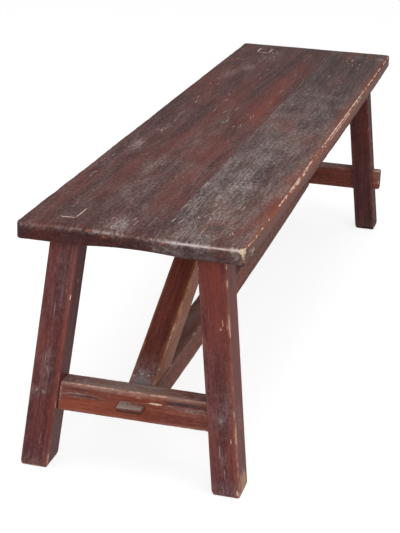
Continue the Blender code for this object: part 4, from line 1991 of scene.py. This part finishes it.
season(beam, np.array, planes, 4.4, base, beam_strokes, lambda points: bend(points, -1))
complete(beam, "long_stretcher")

# %% [markdown]
# ## The braces
# A brace is a square prop. Its foot is sawn level to sit on the long stretcher, and its head is
# let a little way into the seat's underside. Its sides were never painted as well as its face,
# so they show pale brown wood. The foot has greyed, and it was chipped when the nails went in.

# %% Strokes and chips on the braces
brace_arris = 0.0016
brace_spacing = 0.004
half_brace = brace_width / 2
foot_chips = [
    (0.030, 0.019, 0.003, 0.0012),
    (0.035, 0.006, 0.004, 0.0009),
    (0.033, -0.009, 0.003, 0.0012),
    (0.040, 0.010, 0.003, 0.0009),
]
brace_chip_shares = [(0, 1, 7, 0.010, 0.001, pale_chip)]
brace_strokes = [("haze", (0.012, 0, 0), (0.040, 0.05, 0.008), 1.5)]
for across in (half_brace, -half_brace):
    brace_strokes += [
        ("bare", (0.3, across, -0.008), (0.6, 0.006, 0.014), 0.5),
        ("warm", (0.3, across, -brace_depth / 2), (0.6, 0.006, 0.05), 0.5),
        ("dirt", (0.3, across, -brace_depth), (0.6, 0.006, 0.025), 0.3),
        ("worn", (0.3, across, 0), (0.6, 0.006, 0.006), 0.5),
    ]


def brace_marks(brace, axes, length, seed):
    """Chips at the foot of a brace, across its face, and along its two upper edges."""
    surface = surface_of(brace)
    marks = []
    for along, across, half_run, half_width in foot_chips:
        size = (half_run, half_width, scratch_depth)
        place = axes @ Vector((along, across, 0))
        marks.append(scoop(surface, place, axes.to_3x3().col[1], size, pale_chip))
    for across in (half_brace, -half_brace):
        start = axes @ Vector((0, across, 0))
        stop = axes @ Vector((length, across, 0))
        marks += chips_along(surface, start, stop, brace_chip_shares, seed)
    return marks


# %% Make the braces
def make_brace(end_name, figure):
    """One brace with its nail holes and its wear."""
    end = ends[end_name]
    low, high, axes, saws = brace_block(end)
    brace = timber("brace", low, high, axes, saws, brace_arris, brace_spacing, brace_wood)
    planes = block_planes(low, high, axes, saws)
    weather(brace, axes, planes, brace_arris, dips=0.0008, wear=0.001)
    cutters = nail_holes(end, "foot") + nail_holes(end, "head")
    marks = brace_marks(brace, axes, high[0] - brace_spare - overrun, seed=40 + end)
    combine(brace, [*scoops(marks), *cutters])
    base = {"worn": 0.7, "warm": 0.1}
    season(brace, in_axes(axes), planes, figure, base, brace_strokes)
    complete(brace, "brace_" + end_name)


make_brace("left", 5.7)
make_brace("right", 6.4)

# %% [markdown]
# ## Pegs
# A peg is whittled, so it is not quite round, and it stands a hair proud of the leg. One peg is
# modelled and then copied into each hole.


# %% Model one peg
def place_copy(model, axes):
    """A copy with its own mesh, moved into place."""
    piece = model.copy()
    piece.data = model.data.copy()
    bpy.context.scene.collection.objects.link(piece)
    piece.matrix_world = axes
    apply_place(piece)
    return piece


def faces_out(direction, height, slack=0.0002):
    """A test for faces that lie at a height and face along Z."""
    return lambda face: abs(face.calc_center_median().z - height) < slack and (
        face.normal.z * direction > nearly
    )


peg_sides = 14
peg_taper = 0.85
peg_chamfer = 0.0008
peg = add_cylinder(peg_sides, peg_radius, -peg_length, 0)
edit(peg)
select(peg, "FACE", faces_out(-1, -peg_length))
bpy.ops.transform.resize(value=(peg_taper, peg_taper, 1))
select(peg, "FACE", faces_out(1, 0))
bpy.ops.transform.translate(value=(0, 0, peg_proud))
round_edges(peg_chamfer)
select(peg, "FACE", faces_out(1, peg_proud))
bpy.ops.mesh.inset(thickness=peg_chamfer * 1.5)
bpy.ops.transform.translate(value=(0, 0, -peg_proud / 3))
select(peg, "VERT", lambda vert: vert.co.x > peg_radius / 2)
bpy.ops.transform.translate(value=(-peg_proud / 2, 0, 0))
leave_edit(peg)
peg.data.materials.append(peg_wood)

# %% Set the pegs
peg_figures = {
    ("left", "front"): 12.5,
    ("left", "back"): 12.2,
    ("right", "front"): 13.5,
    ("right", "back"): 13.2,
}
peg_low = (-peg_radius, -peg_radius, -peg_length)
peg_high = (peg_radius, peg_radius, peg_proud)
for (end_name, side_name), figure in peg_figures.items():
    axes = peg_axes(end_name, side_name)
    piece = place_copy(peg, axes)
    planes = block_planes(peg_low, peg_high, axes)
    own = in_axes(axes)
    base = {"haze": 0.7, "worn": 0.2}
    season(piece, lambda points: own(points)[:, (2, 0, 1)], planes, figure, base, [])
    complete(piece, "peg_{}_{}".format(side_name, end_name))
bpy.data.objects.remove(peg)

# %% [markdown]
# ## Nails
# The nails are forged: a shank with a point, and a head hammered to a few facets. The head
# starts as a short cylinder of eight sides, and the shank is extruded from its underside.

# %% Forged iron
nail_iron, tree, shader = new_finish("nail_iron")
coordinates = node(tree, "TexCoord").outputs["Object"]
rust = noise(tree, coordinates, 600.0, detail=5.0, roughness=0.7)
scale_marks = noise(tree, coordinates, 1800.0, detail=3.0)
colour = mix(tree, step(tree, rust, 0.42, 0.6), tone(104, 92, 88), tone(134, 104, 92))
bright = times(tree, step(tree, scale_marks, 0.55, 0.7), 0.6)
colour = mix(tree, bright, colour, tone(190, 182, 176))
tree.links.new(colour, shader.inputs["Base Color"])
tree.links.new(plus(tree, times(tree, rust, 0.4), 0.4), shader.inputs["Roughness"])
shader.inputs["Metallic"].default_value = 0.25
emboss(tree, shader, rust, strength=0.6, depth=0.0004)

# %% Model one nail
nail_sides = 8
nail_point_share = 0.2
rose = 0.0004
nail = add_cylinder(nail_sides, nail_head_radius, 0, nail_head_thickness)
edit(nail)
select(nail, "FACE", faces_out(-1, 0))
bpy.ops.mesh.inset(thickness=(nail_head_radius - nail_radius) * math.cos(math.pi / nail_sides))
bpy.ops.mesh.extrude_region_move(
    TRANSFORM_OT_translate={"value": (0, 0, nail_point - nail_length)}
)
bpy.ops.mesh.extrude_region_move(TRANSFORM_OT_translate={"value": (0, 0, -nail_point)})
bpy.ops.transform.resize(value=(nail_point_share, nail_point_share, 1))
select(nail, "FACE", faces_out(1, nail_head_thickness))
round_edges(rose, 2)
select(nail, "FACE", faces_out(1, nail_head_thickness))
bpy.ops.mesh.inset(thickness=nail_head_radius / 3)
bpy.ops.transform.translate(value=(rose / 2, -rose / 3, rose))
leave_edit(nail)
nail.data.materials.append(nail_iron)

# %% Drive the nails
for end_name, end in ends.items():
    for (place, number), axes in nail_axes(end).items():
        piece = place_copy(nail, axes)
        complete(piece, "brace_{}_{}_nail_{}".format(end_name, place, number))
bpy.data.objects.remove(nail)
bpy.data.objects.remove(ball)

# %% [markdown]
# ## Dowels
# The dowels across the joint of the boards stay as the construction has them. They only need
# the look of bare wood, whose fibres run across the bench.

# %% Finish the dowels
dowel_wood, tree, shader = new_finish("dowel_wood")
coordinates = node(tree, "TexCoord").outputs["Object"]
fibres = noise(tree, coordinates, 900.0, (1, 0.05, 1), roughness=0.6)
colour = mix(tree, step(tree, fibres, 0.35, 0.65), tone(168, 132, 92), tone(206, 176, 134))
tree.links.new(colour, shader.inputs["Base Color"])
shader.inputs["Roughness"].default_value = 0.7
emboss(tree, shader, fibres, strength=0.3, depth=0.0003)
for name in dowel_names:
    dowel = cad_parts[name]
    dowel.data.materials.clear()
    dowel.data.materials.append(dowel_wood)
